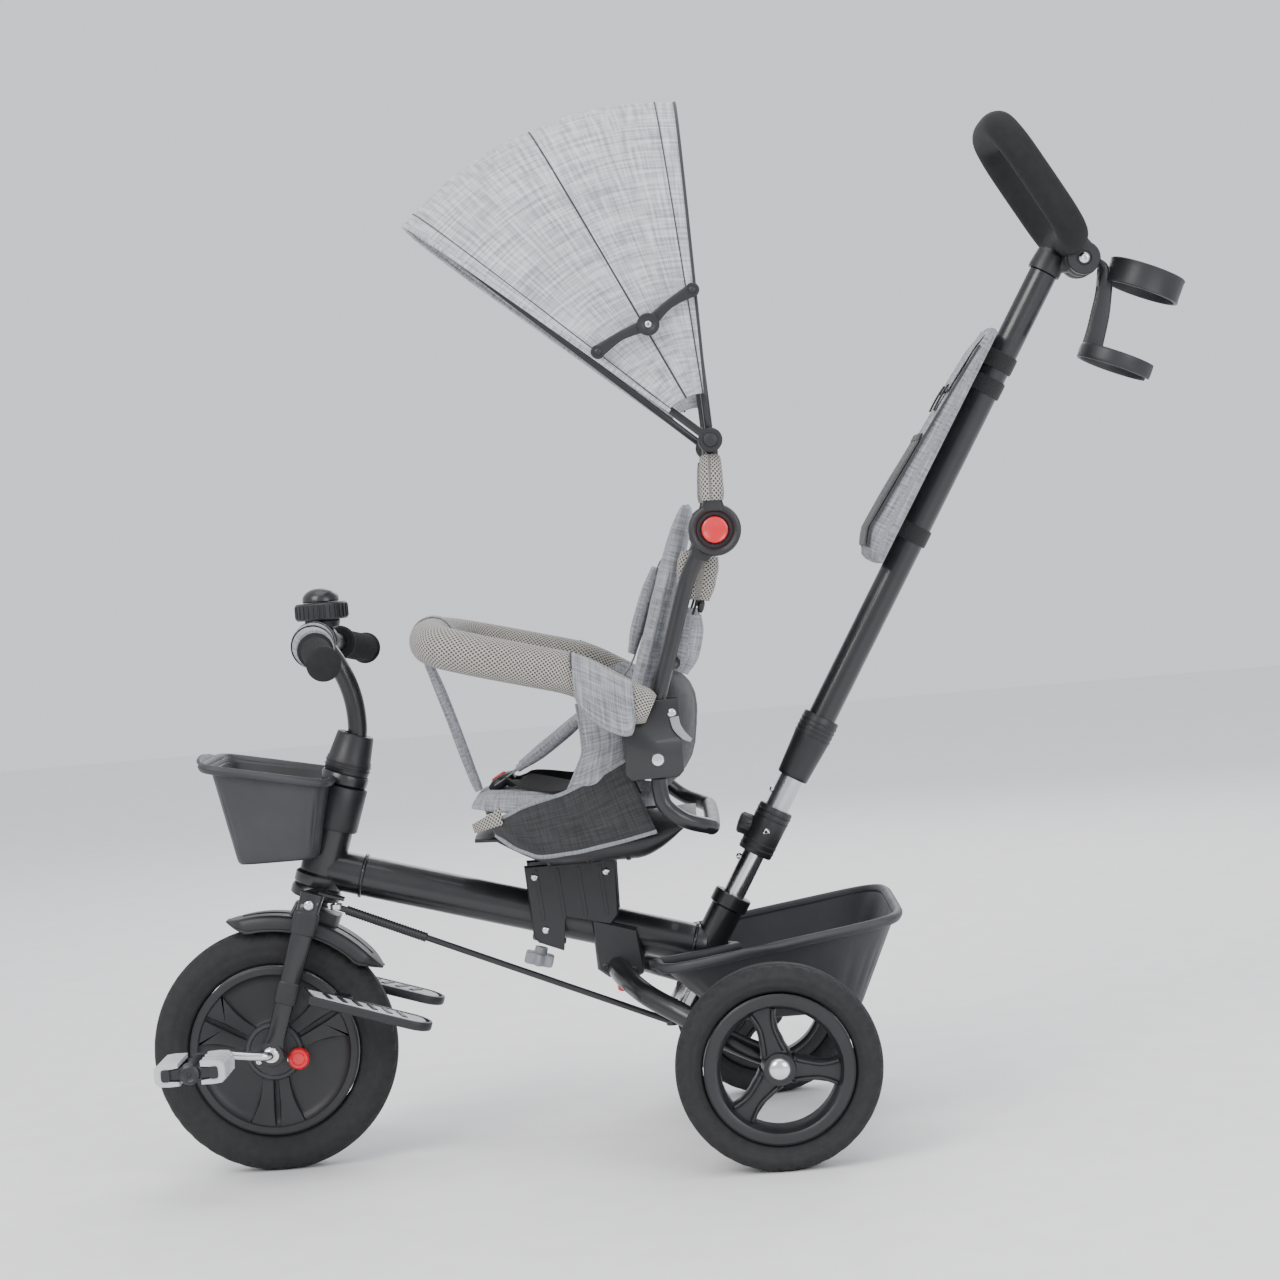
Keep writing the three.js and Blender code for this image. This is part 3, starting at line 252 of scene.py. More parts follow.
STEEL = finish("painted_steel", (0.0085, 0.0085, 0.01), 0.33, 0.0, 0.12, 1400.0, coat=0.25)
CHROME = finish("bright_steel", (0.72, 0.72, 0.73), 0.2, 1.0, 0.04, 700.0, 0.06)
ALLOY = finish("silver_tube", (0.52, 0.53, 0.55), 0.3, 1.0, 0.05, 1200.0, 0.05)
BLACK = finish("black_plastic", (0.013, 0.013, 0.015), 0.42, 0.0, 0.22, 1500.0)
DARK = finish("dark_grey_plastic", (0.030, 0.030, 0.034), 0.5, 0.0, 0.3, 1300.0)
RED = finish("red_plastic", (0.62, 0.010, 0.018), 0.3, 0.0, 0.06, 900.0, 0.08, coat=0.3)
GREY = finish("grey_plastic", (0.26, 0.27, 0.29), 0.45, 0.0, 0.16, 1200.0)
PAD = finish("pale_pedal_pad", (0.50, 0.51, 0.53), 0.6, 0.0, 0.25, 1000.0)
TYRE = foam("tyre_foam", (0.014, 0.014, 0.015), 700.0, 0.82)
FOAM = foam("grip_foam", (0.010, 0.010, 0.011))
HOOD_CLOTH = weave("hood_cloth", (0.27, 0.28, 0.30), (0.66, 0.67, 0.70), 0.0016)
GREY_CLOTH = weave("grey_cloth", (0.14, 0.145, 0.16), (0.38, 0.39, 0.42), 0.0014)
BLACK_CLOTH = weave("black_cloth", (0.008, 0.008, 0.009), (0.03, 0.03, 0.033), 0.0011, 0.75)
PIPING = weave("grey_piping", (0.16, 0.165, 0.18), (0.30, 0.31, 0.33), 0.0012)
SEAM = webbing("dark_binding", (0.035, 0.036, 0.04), 0.0012)
MESH = netting("beige_mesh", (0.42, 0.395, 0.36), (0.05, 0.046, 0.04), 0.0042)
BLACK_NET = netting("black_net", (0.02, 0.02, 0.022), (0.003, 0.003, 0.003), 0.003)
STRAP = webbing("black_webbing", (0.012, 0.012, 0.013))
GREY_STRAP = webbing("grey_webbing", (0.17, 0.175, 0.19))

# ---------------------------------------------------------------- building


def build(name, verts, faces, material, uvs=None, crease=38.0):
    """A mesh object from its points and faces, smooth except where it turns sharply."""
    mesh = bpy.data.meshes.new(name)
    mesh.from_pydata([tuple(v) for v in verts], [], faces)
    if uvs is not None:
        layer = mesh.uv_layers.new(name="lengths")
        for loop in mesh.loops:
            layer.data[loop.index].uv = uvs[loop.vertex_index]
    mesh.materials.append(material)
    obj = bpy.data.objects.new(name, mesh)
    bpy.context.scene.collection.objects.link(obj)
    settle(obj, crease)
    return obj


def settle(obj, crease=38.0):
    """Turns the faces outwards and marks the sharp edges."""
    bm = bmesh.new()
    bm.from_mesh(obj.data)
    bmesh.ops.recalc_face_normals(bm, faces=bm.faces)
    for face in bm.faces:
        face.smooth = True
    for edge in bm.edges:
        sharp = len(edge.link_faces) == 2 and edge.calc_face_angle(0.0) > math.radians(crease)
        edge.smooth = not sharp
    bm.to_mesh(obj.data)
    bm.free()


def skin(name, rings, material, closed=True, caps=True, crease=38.0, lap=False):
    """A surface through rings of points. closed joins a ring's ends, lap the last ring to the first."""
    count = len(rings[0])
    steps = count if closed else count - 1
    middle = rings[len(rings) // 2]
    around = [0.0]
    for j in range(1, count):
        around.append(around[-1] + (middle[j] - middle[j - 1]).length)
    along = [0.0]
    for i in range(1, len(rings)):
        step = sum((rings[i][j] - rings[i - 1][j]).length for j in range(count)) / count
        along.append(along[-1] + step)
    verts = [p for ring in rings for p in ring]
    uvs = [(around[j], along[i]) for i in range(len(rings)) for j in range(count)]
    faces = []
    spans = len(rings) if lap else len(rings) - 1
    for i in range(spans):
        nxt = (i + 1) % len(rings)
        for j in range(steps):
            k = (j + 1) % count
            faces.append((i * count + j, i * count + k, nxt * count + k, nxt * count + j))
    if caps and not lap:
        faces.append(tuple(range(count)))
        faces.append(tuple((len(rings) - 1) * count + j for j in reversed(range(count))))
    return build(name, verts, faces, material, uvs, crease)


def smooth_path(points, steps=6, loop=False):
    """Points on a smooth curve through the given ones."""
    n = len(points)
    out = []
    spans = n if loop else n - 1
    for i in range(spans):
        p = [points[(i + k) % n] if loop else points[min(max(i + k, 0), n - 1)] for k in (-1, 0, 1, 2)]
        for s in range(steps):
            t = s / steps
            out.append(
                0.5
                * (
                    2 * p[1]
                    + (p[2] - p[0]) * t
                    + (2 * p[0] - 5 * p[1] + 4 * p[2] - p[3]) * t**2
                    + (3 * p[1] - p[0] - 3 * p[2] + p[3]) * t**3
                )
            )
    if not loop:
        out.append(points[-1].copy())
    return out


def path_frames(points, side=None, loop=False):
    """(point, sideways, upward) along a path. Sideways is carried along it, or held to side."""
    n = len(points)
    frames = []
    held = side
    for i in range(n):
        if loop:
            forward = points[(i + 1) % n] - points[i - 1]
        else:
            forward = points[min(i + 1, n - 1)] - points[max(i - 1, 0)]
        forward = forward.normalized()
        if held is None:
            held = forward.orthogonal()
        across = (held - forward * held.dot(forward)).normalized()
        if side is None:
            held = across
        frames.append((points[i], across, forward.cross(across)))
    return frames


def section(wide, high, power, count):
    """A rounded section: power 2 is an ellipse, and more is boxier."""
    out = []
    for k in range(count):
        a = 2 * math.pi * k / count
        c, s = math.cos(a), math.sin(a)
        x = math.copysign(abs(c) ** (2 / power), c) * wide
        y = math.copysign(abs(s) ** (2 / power), s) * high
        out.append((x, y))
    return out


def sweep(name, points, size, material, steps=6, side=None, loop=False, power=2.0, count=28, crease=38.0):
    """A bar along a smooth path. size is (half width, half height), or such a pair for each point."""
    path = smooth_path(points, steps, loop)
    frames = path_frames(path, side, loop)
    sizes = size if isinstance(size, list) else [size] * len(points)
    rings = []
    for i, (p, across, up) in enumerate(frames):
        place = min(i / steps, len(sizes) - 1)
        low = int(place)
        high = min(low + 1, len(sizes) - 1)
        part = place - low
        part = part * part * (3 - 2 * part)
        w = (sizes[low][0] * (1 - part) + sizes[high][0] * part) / 1000
        h = (sizes[low][1] * (1 - part) + sizes[high][1] * part) / 1000
        rings.append([p + across * x + up * y for x, y in section(w, h, power, count)])
    return skin(name, rings, material, lap=loop, crease=crease)


def tube(name, points, radius, material, steps=6, loop=False, count=28):
    """A round tube along a smooth path."""
    size = [(r, r) for r in radius] if isinstance(radius, list) else (radius, radius)
    return sweep(name, points, size, material, steps, None, loop, 2.0, count)


def turned(name, profile, centre, axis, material, segments=64, crease=34.0, lap=False):
    """A turned piece: profile holds (along, radius) in millimetres from centre along axis."""
    axis = Vector(axis).normalized()
    side = axis.orthogonal().normalized()
    other = axis.cross(side)
    rings = []
    for along, radius in profile:
        ring = []
        for k in range(segments):
            a = 2 * math.pi * k / segments
            ring.append(
                centre + axis * (along / 1000) + (
                    side * math.cos(a) + other * math.sin(a)
                ) * (radius / 1000)
            )
        rings.append(ring)
    return skin(name, rings, material, lap=lap, crease=crease)


def plate(name, outline, thick, normal, material, edge=1.0):
    """A flat piece: an outline made thick along normal both ways, with rounded edges."""
    normal = Vector(normal).normalized()
    half = normal * (thick / 2000)
    centre = sum(outline, Vector()) / len(outline)
    rings = []
    inset = edge / 1000
    for lift, shrink in (
        (-1.0, 1.0), (-1.0 + 0.3, 0.3), (-0.5, 0.0), (0.5, 0.0), (1.0 - 0.3, 0.3), (1.0, 1.0),
    ):
        ring = []
        for p in outline:
            inward = centre - p
            inward -= normal * inward.dot(normal)
            ring.append(p + half * lift + inward.normalized() * inset * shrink)
        rings.append(ring)
    return skin(name, rings, material)


def joined(name, objects):
    """Several pieces of one part as one object, each with its own material."""
    first = objects[0]
    with bpy.context.temp_override(active_object=first, object=first, selected_editable_objects=objects):
        bpy.ops.object.join()
    first.name = name
    return first


def put(obj, body, slot, *nodes):
    """The piece rides on a body and stands for the CAD nodes. The slot is not used."""
    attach(obj, body)
    if nodes:
        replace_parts(obj, *nodes)
    return obj


def bolt(name, centre, axis, radius, body, material=None, height=2.2, slot="steel"):
    """A domed rivet or screw head with a socket in it."""
    profile = [
        (-1.0, radius), (height * 0.35, radius), (height * 0.8, radius * 0.8), (height, radius * 0.52),
    ]
    profile += [(height * 0.98, radius * 0.45), (height * 0.35, radius * 0.38), (height * 0.3, 0.05)]
    made = turned(name, profile, centre, axis, material or CHROME, 20)
    return put(made, body, slot)


def mirror(point):
    """The same point on the tricycle's other side."""
    return Vector((-point.x, point.y, point.z))


def places(points, side=1):
    """Points of the tricycle, on one side of it."""
    return [at(side * x, y, z) for x, y, z in points]


def side_places(x, points):
    """Points of the side view, x across the tricycle."""
    return [at(x, y, z) for y, z in points]


def sided(profile, side):
    """A turned profile across the tricycle, on one side of it."""
    return [(side * x, r) for x, r in profile]


SIDES = (("left", 1), ("right", -1))

# ---------------------------------------------------------------- wheels, cranks and pedals


def tyre(name, centre, outer, inner, half, lugs):
    """A foam tyre with sidewall ribs and crescent grooves across its shoulders."""
    profile = [
        (-0.62, 0.0), (-0.80, 0.10), (-0.86, 0.24), (-0.93, 0.30), (-0.93, 0.38), (-0.96, 0.46),
        (-1.0, 0.52), (-1.0, 0.60), (-0.97, 0.68), (-0.92, 0.78), (-0.82, 0.88), (-0.66, 0.95),
        (-0.5, 0.98), (-0.44, 0.955), (-0.38, 0.99), (-0.2, 1.0), (0.0, 1.0),
    ]
    profile += [(-x, r) for x, r in reversed(profile[:-1])]
    turns = lugs * 8
    rings = []
    for k in range(turns):
        a = 2 * math.pi * k / turns
        ring = []
        for x, r in profile:
            radius = inner + (outer - inner) * r
            shoulder = max(0.0, min(1.0, (abs(x) - 0.42) / 0.2)) * max(0.0, min(1.0, (r - 0.6) / 0.15))
            phase = (lugs * a / (2 * math.pi) + 0.55 * (abs(x) - 0.5) ** 2 * 8) % 1.0
            cut = max(0.0, 1.0 - abs(phase - 0.5) / 0.16)
            radius -= 2.6 * shoulder * min(1.0, cut * 1.6)
            ring.append(centre + Vector((x * half, math.cos(a) * radius, math.sin(a) * radius)) / 1000)
        rings.append(ring)
    return skin(name, rings, TYRE, lap=True, crease=50.0)


def spoke_half(name, centre, face, sense, angle, low, high, gap, width_low, width_high, thick, material):
    """One side of a raised spoke, beside the groove along its middle."""
    a = math.radians(angle)
    along = Vector((0, math.cos(a), math.sin(a)))
    across = Vector((0, -math.sin(a), math.cos(a)))
    steps = 8
    outline = []
    for k in range(steps + 1):
        r = low + (high - low) * k / steps
        outline.append((r, gap))
    for k in range(5):
        part = k / 4
        wide = gap + (width_high - gap) * part
        outline.append((math.sqrt(max(0.0, (high + 3) ** 2 - wide**2)), wide))
    for k in range(steps, -1, -1):
        part = k / steps
        r = low + (high - low) * part
        outline.append((r, width_low + (width_high - width_low) * part**1.6))
    points = [
        centre + (along * r + across * w * sense) / 1000 + Vector((face / 1000, 0, 0))
        for r, w in outline
    ]
    return plate(name, points, thick, (1, 0, 0), material, 1.6)


FRONT = at(0, *FRONT_AXLE)
put(tyre("front_tyre_looks", FRONT, 127.0, 88.5, 23.0, 40), "front_wheel", "tyre_black", "front_tyre")
FRONT_SPOKES = (150.0, 28.0, 268.0)


def front_rim():
    dish = [
        (-20, 88), (-21.5, 86), (-21.5, 80), (-17, 77), (-14, 70), (-13.5, 34), (-15, 30), (15, 30),
        (13.5, 34), (14, 70), (17, 77), (21.5, 80), (21.5, 86), (20, 88), (6, 84), (-6, 84),
    ]
    parts = [turned("front_rim_looks", dish, FRONT, (1, 0, 0), BLACK, 72, lap=True)]
    for side in (1, -1):
        for n, angle in enumerate(FRONT_SPOKES):
            for sense in (1, -1):
                parts.append(
                    spoke_half(
                        f"spoke_{side}_{n}_{sense}", FRONT, side * 16.0, sense, angle, 27, 77, 2.4, 13.5,
                        30, 7.0, BLACK,
                    )
                )
        hub = [
            (13, 31), (20.5, 30.5), (22.6, 29), (23.2, 26), (22.0, 24.5), (22.0, 14), (23.4, 12.5),
            (23.4, 6.6), (13, 6.6),
        ]
        parts.append(turned(f"hub_plate_{side}", sided(hub, side), FRONT, (1, 0, 0), DARK, 56, lap=True))
        for n in range(3):
            a = math.radians(FRONT_SPOKES[n] + 60)
            place = FRONT + Vector((side * 21.6, 19 * math.cos(a), 19 * math.sin(a))) / 1000
            head = [(-1, 3.2), (1.4, 3.2), (2.0, 2.4), (1.9, 1.4), (1.0, 1.1), (1.0, 0.05)]
            parts.append(turned(f"hub_screw_{side}_{n}", head, place, (side, 0, 0), CHROME, 18))
    return joined("front_rim_looks", parts)


put(front_rim(), "front_wheel", "plastic_black", "front_rim")

knob_low, knob_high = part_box("clutch_knob")
knob_at = (knob_low + knob_high) / 2
knob_at.x = knob_low.x
knob_reach = (knob_high.x - knob_low.x) * 1000
knob = [
    (0, 6.5), (knob_reach * 0.45, 6.5), (knob_reach * 0.5, 9.6), (knob_reach * 0.62, 11.2),
    (knob_reach * 0.86, 11.2), (knob_reach * 0.97, 9.6), (knob_reach, 7.0), (knob_reach * 0.93, 5.8),
    (knob_reach * 0.93, 0.05),
]
put(
    turned("clutch_knob_looks", knob, knob_at, (1, 0, 0), RED, 40), "clutch_knob", "plastic_red",
    "clutch_knob",
)


CRANK_BACK, CRANK_UP = 63.0, 9.0


def crank():
    """The bright bent rod through the front hub, with an arm to each pedal."""
    parts = []
    points = []
    leg = [
        (20, 0, 0), (40, 0, 0), (51, -1.5, 0.2), (56.5, -9, 1.2), (57.5, -30, 4.0), (57.5, -50, 7.6),
        (60.0, -59.6, 8.7), (66, -CRANK_BACK, CRANK_UP), (90, -CRANK_BACK, CRANK_UP),
        (173, -CRANK_BACK, CRANK_UP),
    ]
    for side in (-1, 1):
        row = [FRONT + Vector(p) * side / 1000 for p in leg]
        points += reversed(row) if side < 0 else row
    parts.append(tube("crank_looks", points, 4.6, CHROME, 7))
    for side in (1, -1):
        collar = [(0, 4.7), (0, 7.6), (1, 8.4), (5, 8.4), (6, 7.6), (6, 4.7)]
        place = FRONT + Vector((side * 42, 0, 0)) / 1000
        parts.append(turned(f"crank_collar_{side}", collar, place, (side, 0, 0), CHROME, 32))
        flange = [(0, 4.7), (0, 7.2), (2, 7.2), (2, 4.7)]
        place = FRONT + Vector((107.4, -CRANK_BACK, CRANK_UP)) * side / 1000
        parts.append(turned(f"crank_flange_{side}", flange, place, (side, 0, 0), CHROME, 32))
    return joined("crank_looks", parts)


put(crank(), "cranks", "steel", "pedal_crank")


def pedal(name, side, body):
    """A pedal: a barrel between two frames, each with four pads."""
    centre = FRONT + Vector((38, -CRANK_BACK, CRANK_UP)) * side / 1000
    parts = []
    barrel = [
        (72.5, 5.1), (72.5, 8.8), (74, 10.2), (76, 10.6), (78, 9.2), (128, 9.2), (130, 10.8), (137, 10.8),
        (140.5, 9.8), (142, 7.2), (141.2, 6.0), (140.8, 2.5), (141.6, 1.8), (141.6, 0.05),
    ]
    parts.append(turned(name, sided(barrel, side), centre, (1, 0, 0), BLACK, 40))
    for sense in (1, -1):
        outline = [
            (10.5, 11.6), (22, 12), (31, 11.2), (35.4, 7.5), (36, 0), (35.4, -7.5), (31, -11.2), (22, -12),
            (10.5, -11.6), (10.5, -7.4), (24, -6.6), (27, -3), (27, 3), (24, 6.6), (10.5, 7.4),
        ]
        for n, (low, high) in enumerate(((73, 87), (89.5, 104), (106.5, 121.5), (124, 138))):
            points = [centre + Vector((side * (low + high) / 2, sense * y, z)) / 1000 for y, z in outline]
            parts.append(plate(f"{name}_pad_{sense}_{n}", points, high - low, (1, 0, 0), PAD, 1.0))
        rail = [centre + Vector((side * x, sense * 24, 0)) / 1000 for x in (73, 90, 118, 139)]
        parts.append(sweep(f"{name}_rail_{sense}", rail, (4.4, 6.2), BLACK, 3, ALONG, power=4.0))
        for x in (77.5, 132.5):
            web = [centre + Vector((side * x, sense * y, 0)) / 1000 for y in (6, 14, 23)]
            parts.append(sweep(f"{name}_web_{sense}_{x}", web, (4.0, 6.4), BLACK, 3, ACROSS, power=4.0))
    made = joined(name, parts)
    return put(made, body, "plastic_black")


for label, side in SIDES:
    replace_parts(pedal(f"pedal_{label}_looks", side, f"pedal_{label}"), f"pedal_{label}")


def rear_rim(name, side):
    centre = at(side * REAR_HALF_TRACK, 0, REAR_AXLE_Z)
    hoop = [
        (-20, 74), (-21.6, 72), (-21.6, 65), (-20, 62.5), (-12, 60.5), (-9, 57.5), (9, 57.5), (12, 60.5),
        (20, 62.5), (21.6, 65), (21.6, 72), (20, 74), (8, 71), (-8, 71),
    ]
    parts = [turned(name, hoop, centre, (1, 0, 0), BLACK, 72, lap=True)]
    hub = [(-20, 6.7), (-20, 13), (-17, 15.5), (-10, 17.5), (10, 17.5), (15, 16), (19.5, 15.5), (19.5, 6.7)]
    parts.append(turned(name + "_hub", hub, centre, (1, 0, 0), BLACK, 48, lap=True))
    for n, angle in enumerate((103.0, -8.0, 228.0)):
        a = math.radians(angle)
        way = Vector((0, math.cos(a), math.sin(a)))
        points = [centre + way * (r / 1000) for r in (13, 24, 36, 48, 60)]
        sizes = [(15.0, 14.5), (12.5, 13.5), (10.8, 12), (11.5, 11.5), (16.5, 11)]
        parts.append(
            sweep(f"{name}_spoke_{n}", points, sizes, BLACK, 5, Vector((0, -way.z, way.y)), power=3.2)
        )
        for face in (1, -1):
            for sense in (1, -1):
                across = Vector((0, -way.z, way.y)) * sense
                rib = [
                    centre + way * (r / 1000) + across * (w / 1000) + Vector((face * x / 1000, 0, 0))
                    for r, w, x in ((16, 10, 14.6), (28, 8.0, 13.6), (42, 7.0, 12.4), (57, 11, 11.6))
                ]
                parts.append(
                    sweep(f"{name}_rib_{n}_{face}_{sense}", rib, (1.6, 1.8), BLACK, 5, power=2.5, count=12)
                )
    return joined(name, parts)


for label, side in SIDES:
    centre = at(side * REAR_HALF_TRACK, 0, REAR_AXLE_Z)
    body = f"rear_wheel_{label}"
    put(
        tyre(f"rear_tyre_{label}_looks", centre, 101.6, 74.5, 23.0, 34), body, "tyre_black",
        f"rear_tyre_{label}",
    )
    put(rear_rim(f"rear_rim_{label}_looks", side), body, "plastic_black", f"rear_rim_{label}")


def rear_axle():
    rod = [(-226, 5.0), (-226, 5.6), (-224.5, 6.0), (224.5, 6.0), (226, 5.6), (226, 5.0)]
    parts = [turned("rear_axle_looks", rod, at(0, 0, REAR_AXLE_Z), (1, 0, 0), CHROME, 32)]
    for side in (1, -1):
        cap = [
            (219.8, 6.1), (219.8, 11.5), (221.5, 12.2), (224.5, 11.4), (227.5, 8.5), (228.8, 4.5),
            (229.0, 0.05),
        ]
        place = at(0, 0, REAR_AXLE_Z)
        parts.append(turned(f"hub_cap_{side}", sided(cap, side), place, (1, 0, 0), CHROME, 36))
        for x in (176.2, 181.0):
            washer = [(x, 6.1), (x, 10.5), (x + 1.3, 10.5), (x + 1.3, 6.1)]
            parts.append(
                turned(f"washer_{side}_{x}", sided(washer, side), place, (1, 0, 0), CHROME, 32, lap=True)
            )
    return joined("rear_axle_looks", parts)


put(rear_axle(), "frame", "steel", "rear_axle")

# ---------------------------------------------------------------- frame, fork and steering

TUBE_SLOPE = math.radians(16.4)
STEER_UP = Vector((0, math.sin(STEER_LEAN), math.cos(STEER_LEAN)))
PUSH_UP = Vector((0, math.sin(PUSH_LEAN), math.cos(PUSH_LEAN)))
PUSH_BACK = Vector((0, math.cos(PUSH_LEAN), -math.sin(PUSH_LEAN)))
DOWN_TUBE = Vector((0, -math.sin(TUBE_SLOPE), -math.cos(TUBE_SLOPE)))


def tube_z(y):
    """The height of the main tube's axis at a distance from the rear axle."""
    return 305 - (y + 434) * math.tan(TUBE_SLOPE)


def weld(name, place, axis, radius, size=1.6):
    """A weld bead round a joint."""
    axis = Vector(axis).normalized()
    side = axis.orthogonal().normalized()
    other = axis.cross(side)
    points = []
    for k in range(40):
        a = 2 * math.pi * k / 40
        r = radius + (0.35 if k % 2 else 0.0)
        points.append(place + (side * math.cos(a) + other * math.sin(a)) * (r / 1000))
    return tube(name, points, size, STEEL, 2, True, 10)


def main_frame():
    spots = [at(0, y, tube_z(y)) for y in (-446, -380, -300, -220, -140, -75, -62)]
    radii = [21.0, 21.0, 21.0, 21.0, 21.0, 21.0, 20.2]
    parts = [tube("main_frame_looks", spots, radii, STEEL, 5, count=40)]
    head = [
        (176, 17.6), (176, 24.2), (178, 25.4), (187, 25.4), (190, 22.2), (284, 22.2), (287, 24.6),
        (295, 24.6), (297, 23.6), (297, 17.6),
    ]
    parts.append(turned("head_tube", head, on_steering(0), STEER_UP, STEEL, 48))
    socket = [
        (-26, 12.2), (-26, 16.4), (-25, 17.1), (36, 17.1), (38, 20.1), (51, 20.1), (52, 19.2), (52, 12.2),
    ]
    parts.append(turned("push_socket", socket, on_push(0), PUSH_UP, STEEL, 44))
    parts.append(weld("head_weld", at(0, -411, tube_z(-411)), (0, 1, -math.tan(TUBE_SLOPE)), 21.2, 2.0))
    parts.append(weld("socket_weld", at(0, -74, tube_z(-74)), (0, 1, -math.tan(TUBE_SLOPE)), 21.2, 1.8))
    return joined("main_frame_looks", parts)


put(main_frame(), "frame", "frame_black", "main_frame")


def rear_fork():
    left = [
        (164, -8, 104), (163, -26, 112), (160, -50, 124.7), (152, -74, 139), (142, -92, 150),
        (124, -114, 161), (104, -130, 170), (52, -150, 182), (0, -154, 186),
    ]
    row = [at(*p) for p in left]
    row += [mirror(p) for p in reversed(row[:-1])]
    sizes = [(8.2, 11.6), (9.6, 11.3)] + [(11.0, 11.0)] * 13 + [(9.6, 11.3), (8.2, 11.6)]
    parts = [sweep("rear_fork_looks", row, sizes, STEEL, 5, count=30)]
    for side in (1, -1):
        eye = [(157, 6.4), (157, 12.2), (158.5, 13.2), (169.5, 13.2), (171, 12.2), (171, 6.4)]
        place = at(0, 0, REAR_AXLE_Z)
        parts.append(turned(f"rear_eye_{side}", sided(eye, side), place, ACROSS, STEEL, 36, lap=True))
        parts.append(weld(f"eye_weld_{side}", at(side * 164, -12, 106), (0, -1, 0.42), 9.2, 1.5))
    return joined("rear_fork_looks", parts)


put(rear_fork(), "frame", "frame_black", "rear_fork")


def joint_housing():
    """The moulded block under the main tube that takes the rear fork, with its seam and screws."""
    parts = []
    for side in (1, -1):
        spots = []
        for y, z in (
            (-177, tube_z(-177) + 8), (-131, tube_z(-131) + 8), (-126, 186), (-128, 176), (-140, 170),
            (-164, 175), (-175, 184),
        ):
            spots.append(at(side * 19.5, y, z))
        parts.append(plate(f"housing_half_{side}", spots, 21.0, ACROSS, BLACK, 3.0))
    seam = side_places(
        0, ((-177, 225), (-131, 212), (-127, 187), (-129, 178), (-140, 172), (-164, 177), (-175, 186)),
    )
    parts.append(plate("housing_core", seam, 20.0, ACROSS, DARK, 1.0))
    return joined("joint_housing_looks", parts)


put(joint_housing(), "frame", "plastic_black", "rear_joint_housing")
for side in (1, -1):
    for n, (y, z) in enumerate(((-166, 186), (-138, 181))):
        bolt(
            f"housing_screw_{side}_{n}", at(side * 29.8, y, z), (side, 0, 0), 4.2, "frame", BLACK, 1.4,
            "plastic_black",
        )

button_low, button_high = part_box("release_button")
button_foot = (button_low + button_high) / 2
button_foot.z = button_high.z
press = [(0, 6.8), (8.5, 6.8), (10.2, 6.3), (11.4, 5.0), (11.9, 3.0), (11.4, 1.6), (11.2, 0.05)]
put(
    turned("release_button_looks", press, button_foot, (0, 0, -1), RED, 32), "release_button",
    "plastic_red", "release_button",
)


def fork():
    """The fork: crown, steerer, two tapering legs with sleeves, drop-outs and footrest arms."""
    parts = []
    steerer = [
        (163, 4), (163, 24.5), (164.5, 26), (172, 26), (175.4, 24.2), (175.4, 16.2), (303, 16.2),
        (303, 11.2), (268, 11.2), (268, 4),
    ]
    parts.append(turned("fork_looks", steerer, on_steering(0), STEER_UP, STEEL, 44))
    for side in (1, -1):
        def leg_at(t, x, forward=0.0):
            return on_steering(t, side * x, forward)

        crown = [leg_at(169, 4), leg_at(169, 22), leg_at(167, 34), leg_at(158, 40.5), leg_at(146, 41)]
        parts.append(
            sweep(
                f"crown_{side}", crown, [(13, 6.2), (13, 6.0), (12.4, 6.0), (11.6, 6.4), (11.0, 6.4)],
                STEEL, 5, Vector((0, 1, 0.1)), power=3.0,
            )
        )
        leg = [
            leg_at(172, 40), leg_at(150, 40.5), leg_at(118, 41), leg_at(84, 41), leg_at(48, 41),
            leg_at(22, 41), leg_at(8, 41),
        ]
        sizes = [(12.0, 5.6), (11.8, 6.0), (11.4, 6.4), (10.6, 6.4), (9.6, 6.0), (9.4, 5.2), (11.0, 4.4)]
        parts.append(sweep(f"leg_{side}", leg, sizes, STEEL, 6, Vector((0, 1, 0.1)), power=2.5))
        for n, (low, high, wide) in enumerate(((128, 152, 13.2), (54, 78, 11.6))):
            sleeve = [leg_at(t, 41) for t in (low, low + 2, (low + high) / 2, high - 2, high)]
            sizes = [(wide - 1.6, 6.0), (wide, 7.0), (wide + 0.3, 7.1), (wide, 7.0), (wide - 1.6, 6.0)]
            parts.append(
                sweep(f"leg_sleeve_{side}_{n}", sleeve, sizes, BLACK, 4, Vector((0, 1, 0.1)), power=2.8)
            )
        drop = [(34.6, 6.4), (34.6, 11.5), (35.8, 13.0), (44.4, 13.0), (45.6, 11.8), (45.6, 6.4)]
        parts.append(turned(f"drop_out_{side}", sided(drop, side), FRONT, ACROSS, STEEL, 40, lap=True))
        arm = places((
            (40, -438, 178), (46, -440, 176), (54, -441, 176), (61.4, -441, 176)), side)
        parts.append(sweep(f"foot_arm_{side}", arm, (10.6, 5.6), STEEL, 4, ALONG, power=4.0))
    lug = [on_steering(t, 33, -f) for t, f in ((173.4, 6), (173.4, 16), (173.4, 26), (173.4, 33))]
    parts.append(
        sweep("rod_lug", lug, [(10, 2.0), (9, 2.0), (8, 2.0), (6, 2.0)], STEEL, 4, ACROSS, power=4.0)
    )
    return joined("fork_looks", parts)


put(fork(), "steering", "frame_black", "front_fork")
for side in (1, -1):
    bolt(f"drop_nut_{side}", FRONT + ACROSS * (side * 0.0455), (side, 0, 0), 7.6, "steering", CHROME, 3.2)
    bolt(f"crown_bolt_{side}", on_steering(160, side * 47), (side, 0, 0), 5.0, "steering", CHROME, 2.4)


BAR_MIDDLE, BAR_HALF = 60.0, 203.0
BAR_Y, BAR_Z = -437.0, 545.0
BAR_SWEEP, BAR_DROP = 28.0, 17.0
BELL_X = -55.0


